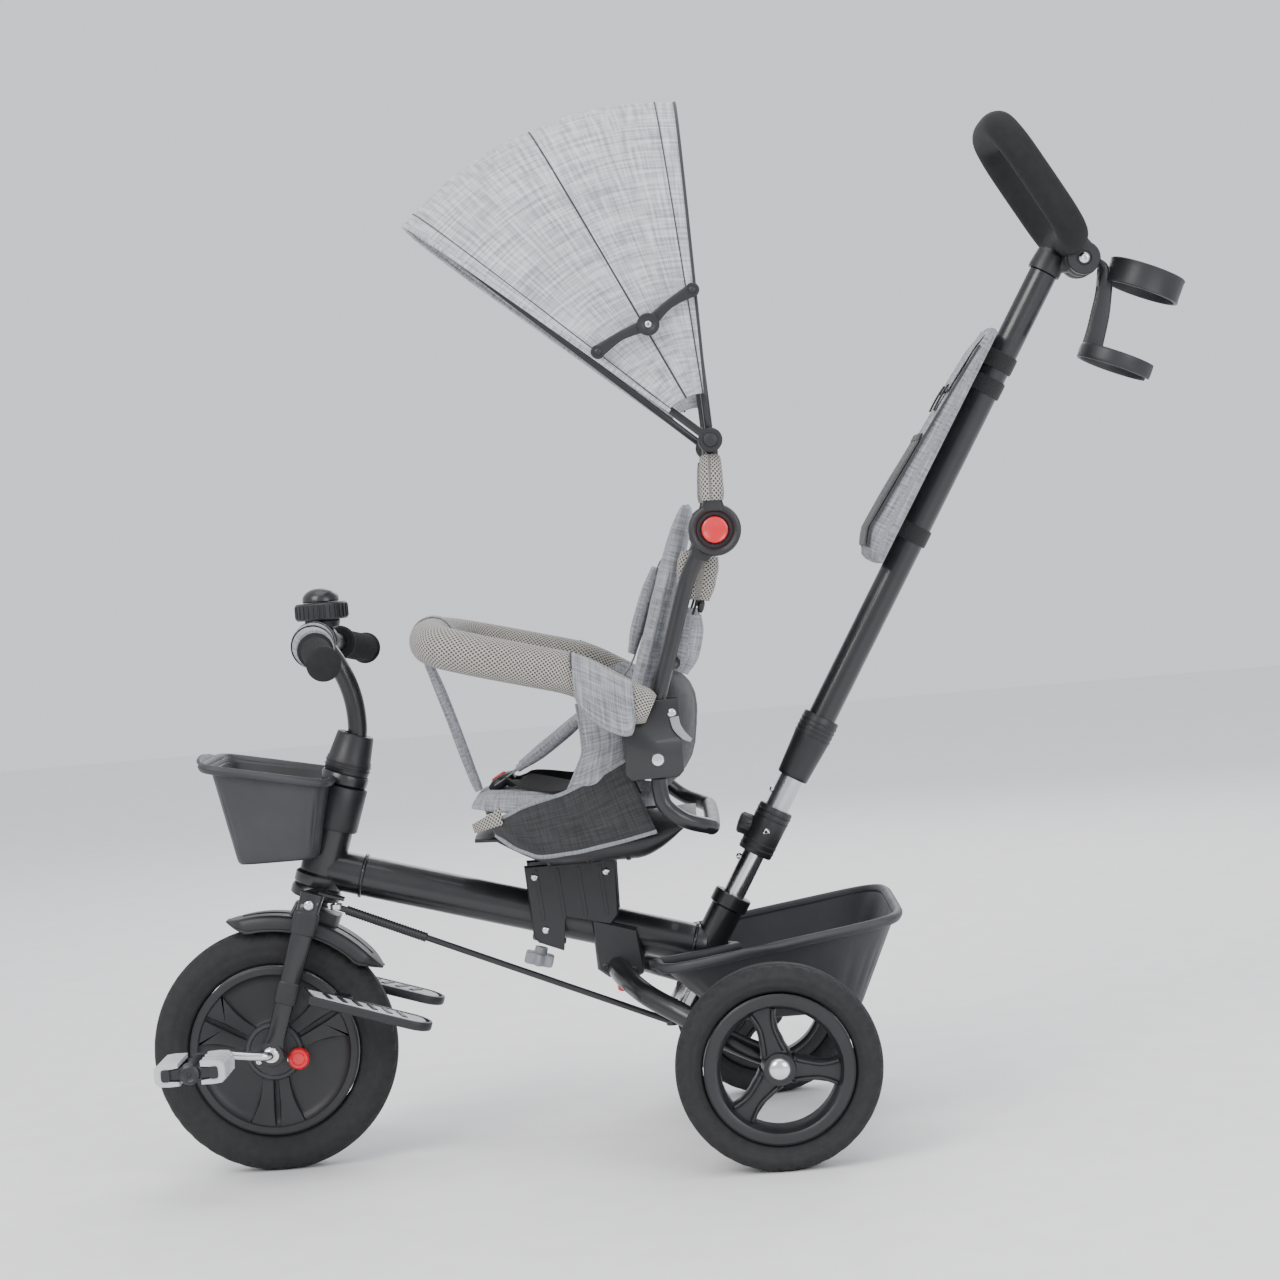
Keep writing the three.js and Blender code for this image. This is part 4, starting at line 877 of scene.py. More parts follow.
def on_bar(x):
    """A point on the handlebar's axis, x from the middle."""
    reach = max(0.0, abs(x) - BAR_MIDDLE) / (BAR_HALF - BAR_MIDDLE)
    return at(x, BAR_Y + BAR_SWEEP * reach, BAR_Z - BAR_DROP * reach)


def handlebar():
    stem = [
        on_steering(272), on_steering(290), on_steering(307), at(0, -405.5, 440), at(0, -404, 470),
        at(0, -410, 500), at(0, -424, 530), at(0, -437, 545),
    ]
    parts = [tube("handlebar_looks", stem, 10.0, STEEL, 6)]
    shares = (-1, -0.83, -0.66, -0.48, -0.3, -0.15, 0, 0.15, 0.3, 0.48, 0.66, 0.83, 1)
    bar = [on_bar(share * BAR_HALF) for share in shares]
    parts.append(tube("handlebar_bar", bar, 10.0, STEEL, 5))
    parts.append(weld("stem_weld", at(0, -432, 540), (0, -0.62, 0.78), 10.4, 1.6))
    return joined("handlebar_looks", parts)


put(handlebar(), "steering", "frame_black", "handlebar")

cover = [
    (297.4, 17.7), (297.4, 22.6), (299, 23.4), (311, 23.4), (313.5, 22.2), (335, 19.6), (338, 19.2),
    (339, 18.2), (339, 12.2), (297.4, 12.2),
]
put(
    turned("stem_cover_looks", cover, on_steering(0), STEER_UP, BLACK, 48, lap=True), "steering",
    "plastic_black", "stem_cover",
)
for n, t in enumerate((303.0, 307.5)):
    ring_points = [(t - 1, 23.3), (t - 0.6, 24.3), (t + 0.6, 24.3), (t + 1, 23.3)]
    put(
        turned(f"stem_ring_{n}", ring_points, on_steering(0), STEER_UP, BLACK, 44, lap=True), "steering",
        "plastic_black",
    )


def grip(side):
    stops = []
    x = 105.0
    while x <= 206.5:
        stops.append(x)
        x += 2.9
    points = [on_bar(side * v) for v in stops]
    sizes = []
    for n, v in enumerate(stops):
        if v < 111:
            r = 18.4
        elif v > 203:
            r = 15.6
        elif v > 199:
            r = 17.2
        else:
            r = 14.5 + (0.75 if n % 2 else -0.35)
        sizes.append((r, r))
    sizes[0] = (16.2, 16.2)
    sizes[-1] = (13.2, 13.2)
    return sweep(f"grip_{side}", points, sizes, FOAM, 3, count=30)


for label, side in SIDES:
    put(grip(side), "steering", "foam_black", f"grip_{label}")


def bell():
    centre = at(BELL_X, BAR_Y, BAR_Z)
    parts = [
        turned(
            "bell_looks", [(-9, 10.4), (-9, 14.4), (-7.5, 15.2), (7.5, 15.2), (9, 14.4), (9, 10.4)], centre,
            ACROSS, BLACK, 36, lap=True,
        )
    ]
    parts.append(
        turned(
            "bell_base",
            [(12, 4), (12, 15), (14, 17.6), (19.5, 18.8), (21, 18.2), (21, 7), (38, 7), (38, 4)], centre,
            (0, 0, 1), BLACK, 40, lap=True,
        )
    )
    dome = [
        (40, 6.5), (40, 18.6), (41.2, 19.4), (45.6, 19.0), (48.6, 17.2), (51.4, 14.2), (53.4, 10.2),
        (54.4, 6.0), (54.6, 0.05),
    ]
    parts.append(turned("bell_dome", dome, centre, (0, 0, 1), STEEL, 48))
    return joined("bell_looks", parts)


put(bell(), "steering", "plastic_black", "bell")


def bell_ring():
    centre = at(BELL_X, BAR_Y, BAR_Z)
    ring_points = [
        (21.4, 8), (21.4, 26.2), (22.6, 27.4), (37.8, 27.4), (39.3, 26.0), (39.3, 20.4), (36, 20), (36, 8),
    ]
    parts = [turned("bell_ring_looks", ring_points, centre, (0, 0, 1), BLACK, 56, lap=True)]
    for n in range(28):
        a = 2 * math.pi * n / 28
        ridge = [
            centre + Vector((27.6 * math.cos(a), 27.6 * math.sin(a), z)) / 1000
            for z in (23.6, 26, 33, 37)
        ]
        parts.append(
            sweep(
                f"bell_ridge_{n}", ridge, [(0.7, 0.5), (1.1, 0.8), (1.1, 0.8), (0.7, 0.5)], BLACK, 3,
                count=8,
            )
        )
    return joined("bell_ring_looks", parts)


put(bell_ring(), "bell_ring", "plastic_black", "bell_ring")


def bar_wrap():
    """A padded fabric wrap on the handlebar."""
    stops = (14, 16, 22, 40, 56, 72, 90, 96, 98)
    swell = (14.5, 19.4, 20.6, 21.0, 20.8, 21.0, 20.6, 19.2, 14.0)
    points = [on_bar(x) for x in stops]
    return sweep("bar_wrap", points, [(r, r) for r in swell], GREY_CLOTH, 6, count=36)


wrap = put(bar_wrap(), "steering", "fabric_grey", "handlebar_pad")
for n, x in enumerate((33, 79)):
    place = on_bar(x)
    strap_points = []
    for k in range(28):
        a = 2 * math.pi * k / 28
        strap_points.append(place + Vector((0, 21.4 * math.cos(a), 21.4 * math.sin(a))) / 1000)
    band = sweep(f"wrap_band_{n}", strap_points, (5.0, 0.7), STRAP, 2, ACROSS, True, 5.0, 12)
    put(band, "steering", "fabric_grey")


def fender():
    """The mudguard: an arched shell with rolled edges, pointed tips and a lip at the front."""
    rings = []
    steps = 64
    for i in range(steps + 1):
        share = i / steps
        angle = math.radians(33 + (106 - 33) * share)
        tip = min(1.0, share / 0.13, (1 - share) / 0.11)
        wide = 29.0 * math.sin(math.pi / 2 * min(1.0, 0.12 + 0.88 * tip)) ** 0.8
        depth = 14.0 * min(1.0, tip * 1.1)
        lift = 1.5 * max(0.0, (share - 0.93) / 0.07)
        outer, inner = [], []
        for k in range(25):
            q = -1 + 2 * k / 24
            x = wide * math.sin(q * math.pi / 2)
            drop = depth * max(0.0, (abs(q) - 0.62) / 0.38) ** 1.6 + 1.4 * q * q
            outer.append((x, 142.2 + lift - drop))
            inner.append((x * 0.955, 142.2 + lift - 2.2 - drop * 0.97))
        ring = outer + inner[::-1]
        rings.append(
            [FRONT + Vector((x, math.cos(angle) * r, math.sin(angle) * r)) / 1000 for x, r in ring]
        )
    parts = [skin("fender_looks", rings, BLACK, crease=50.0)]
    for side in (1, -1):
        edge = []
        for i in range(0, steps + 1, 4):
            ring = rings[i]
            edge.append(ring[24 if side > 0 else 0].copy())
        parts.append(tube(f"fender_edge_{side}", edge, 1.5, BLACK, 4, count=12))
    ridge = [
        FRONT + Vector((0, math.cos(math.radians(a)) * 142.6, math.sin(math.radians(a)) * 142.6)) / 1000
        for a in (40, 50, 60, 70, 80, 90, 99)
    ]
    parts.append(sweep("fender_ridge", ridge, (6.0, 0.9), BLACK, 6, ACROSS, power=2.6, count=16))
    boss = [FRONT + Vector((0, y, z)) / 1000 for y, z in ((26, 139), (74, 120), (80, 134), (34, 152))]
    parts.append(plate("fender_boss", boss, 32, ACROSS, BLACK, 3.0))
    return joined("fender_looks", parts)


put(fender(), "steering", "plastic_black", "front_fender")


def footrest(side):
    """A folding footrest: a moulded tray with a raised edge, a pale tread and slanted slots."""
    slope = math.radians(18.5)
    down = Vector((0, math.cos(slope), -math.sin(slope)))
    up = Vector((0, math.sin(slope), math.cos(slope)))
    corner = at(0, -477, 197)

    def spot(x, d, lift=0.0):
        return corner + ACROSS * (side * x / 1000) + down * (d / 1000) + up * (lift / 1000)

    def outline(inset, lift):
        # The tray's inner edge is straight, its front slants and its rear end is round.
        points = [(62 + inset, 1 + inset), (106 - inset, 14 + inset)]
        for k in range(0, 17):
            a = math.pi * k / 16
            points.append((84 + (22 - inset) * math.cos(a), 118 + (22 - inset) * math.sin(a)))
        full = []
        for n, p in enumerate(points):
            q = points[(n + 1) % len(points)]
            cuts = 6 if math.dist(p, q) > 20 else 1
            for c in range(cuts):
                full.append((p[0] + (q[0] - p[0]) * c / cuts, p[1] + (q[1] - p[1]) * c / cuts))
        return [spot(x, d, lift) for x, d in full]

    rings = [
        outline(3, -9.6), outline(0.8, -8.8), outline(0, -7), outline(0, -1.4), outline(0.7, -0.3),
        outline(2.0, 0), outline(3.4, -0.4), outline(4.0, -2.2), outline(5.0, -2.6),
    ]
    parts = [skin(f"footrest_{side}", rings, BLACK, crease=42.0)]
    tread = [outline(7.0, -2.7), outline(7.2, -1.0), outline(8.2, -0.4), outline(9.5, -0.3)]
    parts.append(skin(f"footrest_tread_{side}", tread, PAD, crease=42.0))
    for n in range(6):
        d = 30 + n * 15.5
        slot = [spot(x, d + (x - 84) * 0.45, -0.15) for x in (74, 80, 88, 94)]
        parts.append(
            sweep(f"footrest_slot_{side}_{n}", slot, (3.0, 0.9), BLACK, 4, down, power=2.6, count=14)
        )
    rib = [spot(x, 28, -11.4) for x in (64, 74, 84, 93)]
    parts.append(sweep(f"footrest_rib_{side}", rib, (3.8, 2.4), BLACK, 3, down, power=4.0, count=14))
    return joined(f"footrest_{side}", parts)


for label, side in SIDES:
    put(footrest(side), f"footrest_{label}", "plastic_black", f"footrest_{label}")


def steering_rod():
    front, rear = at(33, -438, 272), at(55, -102, 128)
    parts = [
        tube(
            "steering_rod_looks", [front.lerp(rear, s) for s in (0.0, 0.25, 0.5, 0.75, 1.0)], 3.3, STEEL, 4,
            count=16,
        )
    ]
    cover_points = []
    cover_sizes = []
    for n in range(61):
        s = 0.03 + 0.24 * n / 60
        cover_points.append(front.lerp(rear, s))
        r = 4.5 + (0.7 if n % 2 else 0.0)
        cover_sizes.append((r, r))
    parts.append(sweep("rod_cover", cover_points, cover_sizes, BLACK, 2, count=16))
    for name, place, paint in (("rod_eye_front", front, CHROME), ("rod_eye_rear", rear, STEEL)):
        eye = [(-3, 2.2), (-3, 5.8), (-2.2, 6.5), (2.2, 6.5), (3, 5.8), (3, 2.2), (3.9, 1.9), (3.9, 0.05)]
        parts.append(turned(name, eye, place, (0, 0, 1), paint, 28))
    return joined("steering_rod_looks", parts)


put(steering_rod(), "steering_rod", "frame_black", "steering_rod")


def brake():
    x = -134
    parts = []
    eye = [(-12, 6.5), (-12, 15), (-10.5, 16), (10.5, 16), (12, 15), (12, 6.5)]
    parts.append(turned("brake_looks", eye, at(x, 0, REAR_AXLE_Z), ACROSS, BLACK, 40, lap=True))
    lever = [
        at(x, y, REAR_AXLE_Z + z)
        for y, z in ((6, 5), (22, 8), (40, 10.5), (56, 10.5), (68, 8), (73.5, 5))
    ]
    parts.append(
        sweep(
            "brake_lever", lever, [(8.8, 8.0), (8.8, 6.4), (8.8, 5.0), (8.8, 4.4), (8.8, 4.0), (7.0, 3.0)],
            BLACK, 5, ACROSS, power=3.6,
        )
    )
    for n, y in enumerate((44, 51, 58, 65)):
        rib = [at(x + v, y, REAR_AXLE_Z + 14.9 - abs(n - 1) * 0.7) for v in (-7, -2, 2, 7)]
        parts.append(sweep(f"brake_rib_{n}", rib, (1.2, 1.0), BLACK, 3, count=10))
    return joined("brake_looks", parts)


put(brake(), "brake_pedal", "plastic_black", "brake_pedal")

# ---------------------------------------------------------------- bucket and basket


def tub_ring(half, front, rear, z_front, z_rear, corner, count=88):
    """A rounded rectangle in plan that slopes from front to rear."""
    points = []
    mid_y, half_y = (front + rear) / 2, (rear - front) / 2
    n = 2 + 2.4 * min(half, half_y) / corner
    for k in range(count):
        a = 2 * math.pi * k / count
        c, s = math.cos(a), math.sin(a)
        x = half * math.copysign(abs(c) ** (2 / n), c)
        y = mid_y + half_y * math.copysign(abs(s) ** (2 / n), s)
        share = (y - front) / (rear - front)
        points.append((x, y, z_front + (z_rear - z_front) * share))
    return points


def tub(name, top, bottom, wall, material, flutes, lip):
    """A moulded tub: fluted walls, a base with feet, and a rolled rim."""
    levels = 12
    count = 120

    def level(share, inset, floor_lift=0.0):
        values = [b + (t - b) * share for t, b in zip(top, bottom)]
        half, front, rear, z_front, z_rear, corner = values
        ring = tub_ring(
            half - inset, front + inset, rear - inset, z_front + floor_lift, z_rear + floor_lift, corner,
            count,
        )
        out = []
        for k, (x, y, z) in enumerate(ring):
            wave = 0.0
            if inset < wall and 0.12 < share < 0.86:
                wave = flutes[1] * (
                    0.5 + 0.5 * math.cos(2 * math.pi * flutes[0] * k / count)
                ) * math.sin(math.pi * (share - 0.12) / 0.74)
            mid = Vector((0, (front + rear) / 2, 0))
            way = Vector((x, y, 0)) - mid
            way = way.normalized() if way.length else way
            out.append(at(x - way.x * wave, y - way.y * wave, z))
        return out

    rings = [level(0, 14, 0.4), level(0, 6, 0.0), level(0, 1.6, 0.6), level(0.03, 0.3)]
    rings += [level(i / levels, 0.0) for i in range(1, levels + 1)]
    rings += [level(1.0, wall)]
    rings += [level(i / levels, wall) for i in range(levels - 1, 0, -1)]
    rings += [level(0, wall + 3, wall), level(0, 16, wall + 0.3)]
    parts = [skin(name, rings, material, crease=50.0)]
    rim = [at(*p) for p in tub_ring(*lip["ring"], count=72)]
    parts.append(sweep(f"{name}_rim", rim, (lip["wide"], lip["high"]), material, 2, None, True, 2.6, 16))
    return parts


def bucket():
    top = (75.0, -552.0, -434.0, 424.0, 402.0, 26.0)
    bottom = (58.0, -534.0, -452.0, 324.5, 324.5, 20.0)
    rim = {"ring": (80.0, -560.0, -432.0, 429.0, 402.0, 26.0), "wide": 4.6, "high": 4.2}
    parts = tub("bucket_looks", top, bottom, 2.6, DARK, (20, 0.9), rim)
    flange = [at(*p) for p in tub_ring(77.0, -556.0, -436.0, 427.0, 404.0, 26.0, count=72)]
    parts.append(sweep("bucket_flange", flange, (4.2, 1.2), DARK, 2, None, True, 4.0, 12))
    nose = places(((-52, -561, 430), (-30, -565, 432), (0, -566.5, 433), (30, -565, 432), (52, -561, 430)))
    parts.append(
        sweep(
            "bucket_lip", nose, [(2.0, 3.2), (3.0, 5.0), (3.2, 5.6), (3.0, 5.0), (2.0, 3.2)], DARK, 6,
            power=2.6, count=16,
        )
    )
    collar = [(238, 22.9), (238, 25.2), (239.5, 26.2), (282.5, 26.2), (284, 25.2), (284, 22.9)]
    parts.append(turned("bucket_collar", collar, on_steering(0), STEER_UP, BLACK, 44, lap=True))
    arm = side_places(0, ((-443, 392), (-436, 388), (-428, 384)))
    parts.append(sweep("bucket_arm", arm, (11.5, 12), BLACK, 4, ACROSS, power=4.0, count=20))
    return joined("bucket_looks", parts)


put(bucket(), "frame", "plastic_black", "front_bucket")
for side in (1, -1):
    bolt(
        f"bucket_screw_{side}", at(side * 7, -440.5, 399), (0, -0.2, 1), 3.0, "frame", BLACK, 1.2,
        "plastic_black",
    )


def scoop(x, z):
    """The basket's front wall is pressed in round the push bar's socket: the furthest forward it may be."""
    return PUSH_FOOT[0] + (z - PUSH_FOOT[1]) * math.tan(PUSH_LEAN) + 29 - 70 * (x / 36) ** 2


def basket():
    top = (140.0, -108.0, 132.0, 190.0, 224.0, 60.0)
    bottom = (98.0, -50.0, 92.0, 130.0, 130.0, 40.0)
    levels = 14
    count = 144
    wall = 2.8

    def level(share, inset, lift=0.0):
        values = [b + (t - b) * share for t, b in zip(top, bottom)]
        half, front, rear, z_front, z_rear, corner = values
        ring = tub_ring(
            half - inset, front + inset, rear - inset, z_front + lift, z_rear + lift, corner, count,
        )
        out = []
        for k, (x, y, z) in enumerate(ring):
            way = Vector((x, y - (front + rear) / 2, 0)).normalized()
            deep = 0.0
            if inset == 0 and 0.15 < share < 0.85:
                deep = max(
                    0.0, math.cos(2 * math.pi * 24 * k / count),
                ) * math.sin(math.pi * (share - 0.15) / 0.7)
            y = max(y, scoop(x, z) + inset) if z > 140 else y
            out.append(at(x - way.x * deep, y - way.y * deep, z))
        return out

    rings = [level(0, 20, 0.6), level(0, 8, 0.0), level(0, 2, 0.8), level(0.03, 0.4)]
    rings += [level(i / levels, 0.0) for i in range(1, levels + 1)]
    rings += [level(1.0, wall)]
    rings += [level(i / levels, wall) for i in range(levels - 1, 0, -1)]
    rings += [level(0, wall + 4, wall), level(0, 22, wall + 0.3)]
    parts = [skin("basket_looks", rings, DARK, crease=50.0)]
    rim = []
    for x, y, z in tub_ring(142.0, -111.0, 135.0, 192.0, 226.0, 60.0, count=80):
        rim.append(at(x, max(y, scoop(x, z) + 3), z))
    parts.append(sweep("basket_rim", rim, (5.2, 4.8), DARK, 2, None, True, 2.6, 16))
    return joined("basket_looks", parts)


put(basket(), "frame", "plastic_black", "rear_basket")

# ---------------------------------------------------------------- push bar


def tube_along(name, low, high, radius, inner, material, sides=44):
    """A straight tube on the push bar's axis with eased ends."""
    profile = [
        (low, inner), (low, radius - 0.6), (low + 0.8, radius), (high - 0.8, radius), (high, radius - 0.6),
        (high, inner),
    ]
    return turned(name, profile, on_push(0), PUSH_UP, material, sides, lap=True)


def push_shaft():
    solid_profile = [(-86, 0.05), (-86, 10.6), (-85, 11.4), (103, 11.4), (104, 10.6), (104, 0.05)]
    parts = [turned("push_shaft_looks", solid_profile, on_push(0), PUSH_UP, CHROME, 44)]
    foot = on_push(-86)
    lever_middle = 142
    bar = [foot.copy() for _ in range(4)]
    for n, x in enumerate((-8, 14, 40, 60)):
        bar[n].x = x / 1000
        bar[n].z = lever_middle / 1000
    parts.append(
        sweep(
            "push_lever", bar, [(9.0, 2.8), (8.6, 2.8), (7.4, 2.8), (6.0, 2.6)], STEEL, 5, ALONG, power=4.0,
            count=20,
        )
    )
    return joined("push_shaft_looks", parts)


put(push_shaft(), "push_post", "steel", "push_shaft")
put(
    tube_along("push_lower_looks", 104.35, 430, 12.3, 0.05, ALLOY), "push_post", "frame_black",
    "push_bar_lower",
)


def height_clamp():
    band = [(100, 12.5), (100, 17.4), (101.5, 18.3), (150.5, 18.3), (152, 17.4), (152, 12.5)]
    parts = [turned("height_clamp_looks", band, on_push(0), PUSH_UP, BLACK, 44, lap=True)]
    for n, u in enumerate((106, 112, 140, 146)):
        rib = [(u - 1.4, 18.0), (u - 0.8, 18.7), (u + 0.8, 18.7), (u + 1.4, 18.0)]
        parts.append(turned(f"clamp_rib_{n}", rib, on_push(0), PUSH_UP, BLACK, 44, lap=True))
    start = on_push(126)
    way = Vector((0, -27, 12)).normalized()
    knob = [
        (11, 8.2), (15, 8.6), (16, 10.2), (17.5, 11.0), (27.4, 11.0), (29.2, 9.8), (29.8, 7.0), (29.2, 5.4),
        (29.2, 0.05),
    ]
    parts.append(turned("clamp_knob", knob, start, way, BLACK, 40))
    side = way.orthogonal().normalized()
    other = way.cross(side)
    for n in range(10):
        a = 2 * math.pi * n / 10
        foot = start + (side * math.cos(a) + other * math.sin(a)) * 0.0106
        parts.append(
            sweep(
                f"clamp_grip_{n}", [foot + way * (d / 1000) for d in (17.6, 20, 25, 27.6)], (1.0, 0.9),
                BLACK, 3, count=8,
            )
        )
    return joined("height_clamp_looks", parts)


put(height_clamp(), "push_post", "plastic_black", "height_clamp")
bolt("clamp_pinch_bolt", on_push(126) + ACROSS * 0.0170, (1, 0, 0), 3.8, "push_post", CHROME, 2.4)
for n, u in enumerate((90, 168)):
    pin = [(-1, 3.3), (2.0, 3.3), (3.2, 2.8), (4.0, 1.6), (4.2, 0.05)]
    place = on_push(u) - PUSH_BACK * 0.0118
    put(turned(f"spring_pin_{n}", pin, place, -PUSH_BACK, CHROME, 22), "push_post", "steel")

taper = [
    (188, 12.6), (188, 15.6), (189.5, 16.5), (192, 16.6), (231, 19.0), (233, 19.3), (256.5, 19.3),
    (258, 18.4), (258, 15.1), (238, 15.1), (238, 12.6),
]
sleeve_parts = [turned("taper_looks", taper, on_push(0), PUSH_UP, BLACK, 48, lap=True)]
for n, u in enumerate((236, 241, 246, 251)):
    rib = [(u - 1.2, 19.1), (u - 0.7, 19.9), (u + 0.7, 19.9), (u + 1.2, 19.1)]
    sleeve_parts.append(turned(f"taper_rib_{n}", rib, on_push(0), PUSH_UP, BLACK, 44, lap=True))
put(joined("taper_looks", sleeve_parts), "push_upper", "plastic_black", "taper_sleeve")
put(
    tube_along("push_upper_looks", 238, 770, 14.75, 12.7, STEEL, 48), "push_upper", "frame_black",
    "push_bar_upper",
)

HANDLE_HUB = at(0, 382, 872)


def handle_joint():
    barrel = [(-20, 5), (-20, 15.6), (-18.6, 17), (18.6, 17), (20, 15.6), (20, 5)]
    parts = [turned("handle_joint_looks", barrel, HANDLE_HUB, ACROSS, BLACK, 44)]
    cap = [(730, 11.0), (770.4, 11.0), (770.4, 17.0), (774, 17.4), (790, 16.2), (794, 13), (794, 4)]
    parts.append(turned("handle_cap", cap, on_push(0), PUSH_UP, BLACK, 44))
    neck = side_places(0, ((354, 871), (362, 871.5), (372, 872)))
    parts.append(sweep("handle_neck", neck, (12, 11.5), BLACK, 4, ACROSS, power=2.6))
    for side in (1, -1):
        for n in range(4):
            rib = [
                (side * (6 + 3.4 * n), 16.8), (side * (6.5 + 3.4 * n), 17.6),
                (side * (7.6 + 3.4 * n), 17.6), (side * (8.1 + 3.4 * n), 16.8),
            ]
            parts.append(turned(f"joint_rib_{side}_{n}", rib, HANDLE_HUB, ACROSS, BLACK, 40, lap=True))
    return joined("handle_joint_looks", parts)


put(handle_joint(), "push_upper", "plastic_black", "handle_joint")


def push_handle():
    """The parent's handle: a foam-covered loop on two lugs."""
    top, low = at(0, 302, 1010.6), at(0, 372, 888)
    up = top - low
    corners_at = [
        (-46, 0.04), (0, 0.02), (46, 0.04), (68, 0.09), (78.5, 0.22), (80.5, 0.42), (80.5, 0.6),
        (78.5, 0.8), (66, 0.95), (44, 1.0), (0, 1.01), (-44, 1.0), (-66, 0.95), (-78.5, 0.8), (-80.5, 0.6),
        (-80.5, 0.42), (-78.5, 0.22), (-68, 0.09),
    ]
    points = [low + up * s + ACROSS * (x / 1000) for x, s in corners_at]
    path = smooth_path(points, 9, True)
    parts = [sweep("push_handle_looks", path[::2], (15.8, 15.8), FOAM, 2, None, True, 2.1, 28)]
    for side in (1, -1):
        lug = [(20.4, 5), (20.4, 16.4), (21.6, 17), (30.6, 17), (32, 16), (32, 8), (31, 7), (31, 0.05)]
        parts.append(turned(f"handle_lug_{side}", sided(lug, side), HANDLE_HUB, ACROSS, BLACK, 40))
        web = side_places(side * 26, ((382, 880), (377, 887), (373, 893)))
        parts.append(sweep(f"handle_web_{side}", web, (5.7, 11.5), BLACK, 4, ACROSS, power=3.6, count=18))
    return joined("push_handle_looks", parts)


put(push_handle(), "push_handle", "foam_black", "push_handle")
for side in (1, -1):
    bolt(
        f"handle_bolt_{side}", HANDLE_HUB + ACROSS * (side * 0.0315), (side, 0, 0), 5.4, "push_handle",
        CHROME, 2.2,
    )


def cup_holder():
    tilt = math.radians(24)
    axis = Vector((0, math.sin(tilt), math.cos(tilt)))
    rear = Vector((0, math.cos(tilt), -math.sin(tilt)))
    centre = at(0, 446, 845)
    top = [
        (-13, 36.4), (-13, 39.2), (-12, 40.2), (-9, 39.6), (9, 39.6), (12, 40.2), (13, 39.2), (13, 36.4),
        (11, 36.0), (-11, 36.0),
    ]
    parts = [turned("cup_holder_looks", top, centre, axis, BLACK, 64, lap=True)]
    low_points = []
    for k in range(31):
        a = math.radians(-157 + 314 * k / 30)
        low_points.append(
            centre - axis * 0.088 - rear * (0.0381 * math.cos(a)) + ACROSS * (0.0381 * math.sin(a))
        )
    parts.append(sweep("cup_ring_low", low_points, (8.0, 1.9), BLACK, 2, axis, power=3.6, count=18))
    for x in (-9, 9):
        web = [at(x, y, z) for y, z in ((406, 862), (404, 840), (396, 808), (385, 776))]
        parts.append(
            sweep(
                f"cup_web_{x}", web, [(2.6, 6.0), (2.6, 7.4), (2.6, 9.0), (2.6, 10.0)], BLACK, 6, ACROSS,
                power=3.6, count=18,
            )
        )
    for n, (y, z) in enumerate(((404, 848), (400, 826), (394, 804), (387, 782))):
        bar = [at(x, y, z) for x in (-9, 0, 9)]
        parts.append(sweep(f"cup_bar_{n}", bar, (4.4, 1.8), BLACK, 3, ALONG, power=3.0, count=14))
    clip = side_places(0, ((398, 871), (405, 862), (404, 850), (402, 842)))
    parts.append(
        sweep(
            "cup_clip", clip, [(12, 2.6), (13, 4.6), (13, 6.2), (12, 5.4)], BLACK, 6, ACROSS, power=3.6,
            count=20,
        )
    )
    return joined("cup_holder_looks", parts)


put(cup_holder(), "push_upper", "plastic_black", "cup_holder")


BAG_LOW, BAG_HIGH = 428.0, 690.0
BAG_BACK = 16.2


def bag_swell(s):
    """How deep the bag is at a share of its height."""
    return 12 + 21 * (1 - s) ** 0.8 * min(1.0, (s + 0.02) / 0.12) ** 0.5


def bag():
    """The organiser bag: a padded pouch strapped to the bar, with a net pocket, a flap and bound edges."""

    def spot(x, fore, u):
        return on_push(u, x, -fore)

    rings = []
    steps = 26
    for i in range(steps + 1):
        s = i / steps
        u = BAG_LOW + (BAG_HIGH - BAG_LOW) * s
        deep = bag_swell(s)
        half = 52 - 3.5 * max(0.0, (s - 0.9) / 0.1) ** 2 - 4.0 * max(0.0, (0.06 - s) / 0.06) ** 2
        ring = []
        for x, y in section(half, deep / 2, 4.2, 56):
            pucker = 0.7 * math.sin(
                x * 0.35 + u * 0.05
            ) * math.sin(u * 0.11 + 1.3) if abs(y) > deep * 0.3 else 0.0
            ring.append(spot(x, BAG_BACK + deep / 2 + y + (pucker if y > 0 else 0.0), u))
        rings.append(ring)
    first = [
        spot(x * 0.86, BAG_BACK + (12 + 21 * 0.4) / 2 + y * 0.6, 425.5)
        for x, y in section(50, 8, 4.2, 56)
    ]
    last = [spot(x * 0.9, BAG_BACK + 6 + y * 0.55, 692.5) for x, y in section(46, 6, 4.2, 56)]
    return skin("bag_looks", [first] + rings + [last], GREY_CLOTH, crease=60.0), spot


bag_piece, bag_spot = bag()
put(bag_piece, "push_upper", "fabric_grey", "organizer_bag")


def bag_depth(u):
    """The depth of the bag's front face, u along the push bar."""
    return BAG_BACK + bag_swell((u - BAG_LOW) / (BAG_HIGH - BAG_LOW))


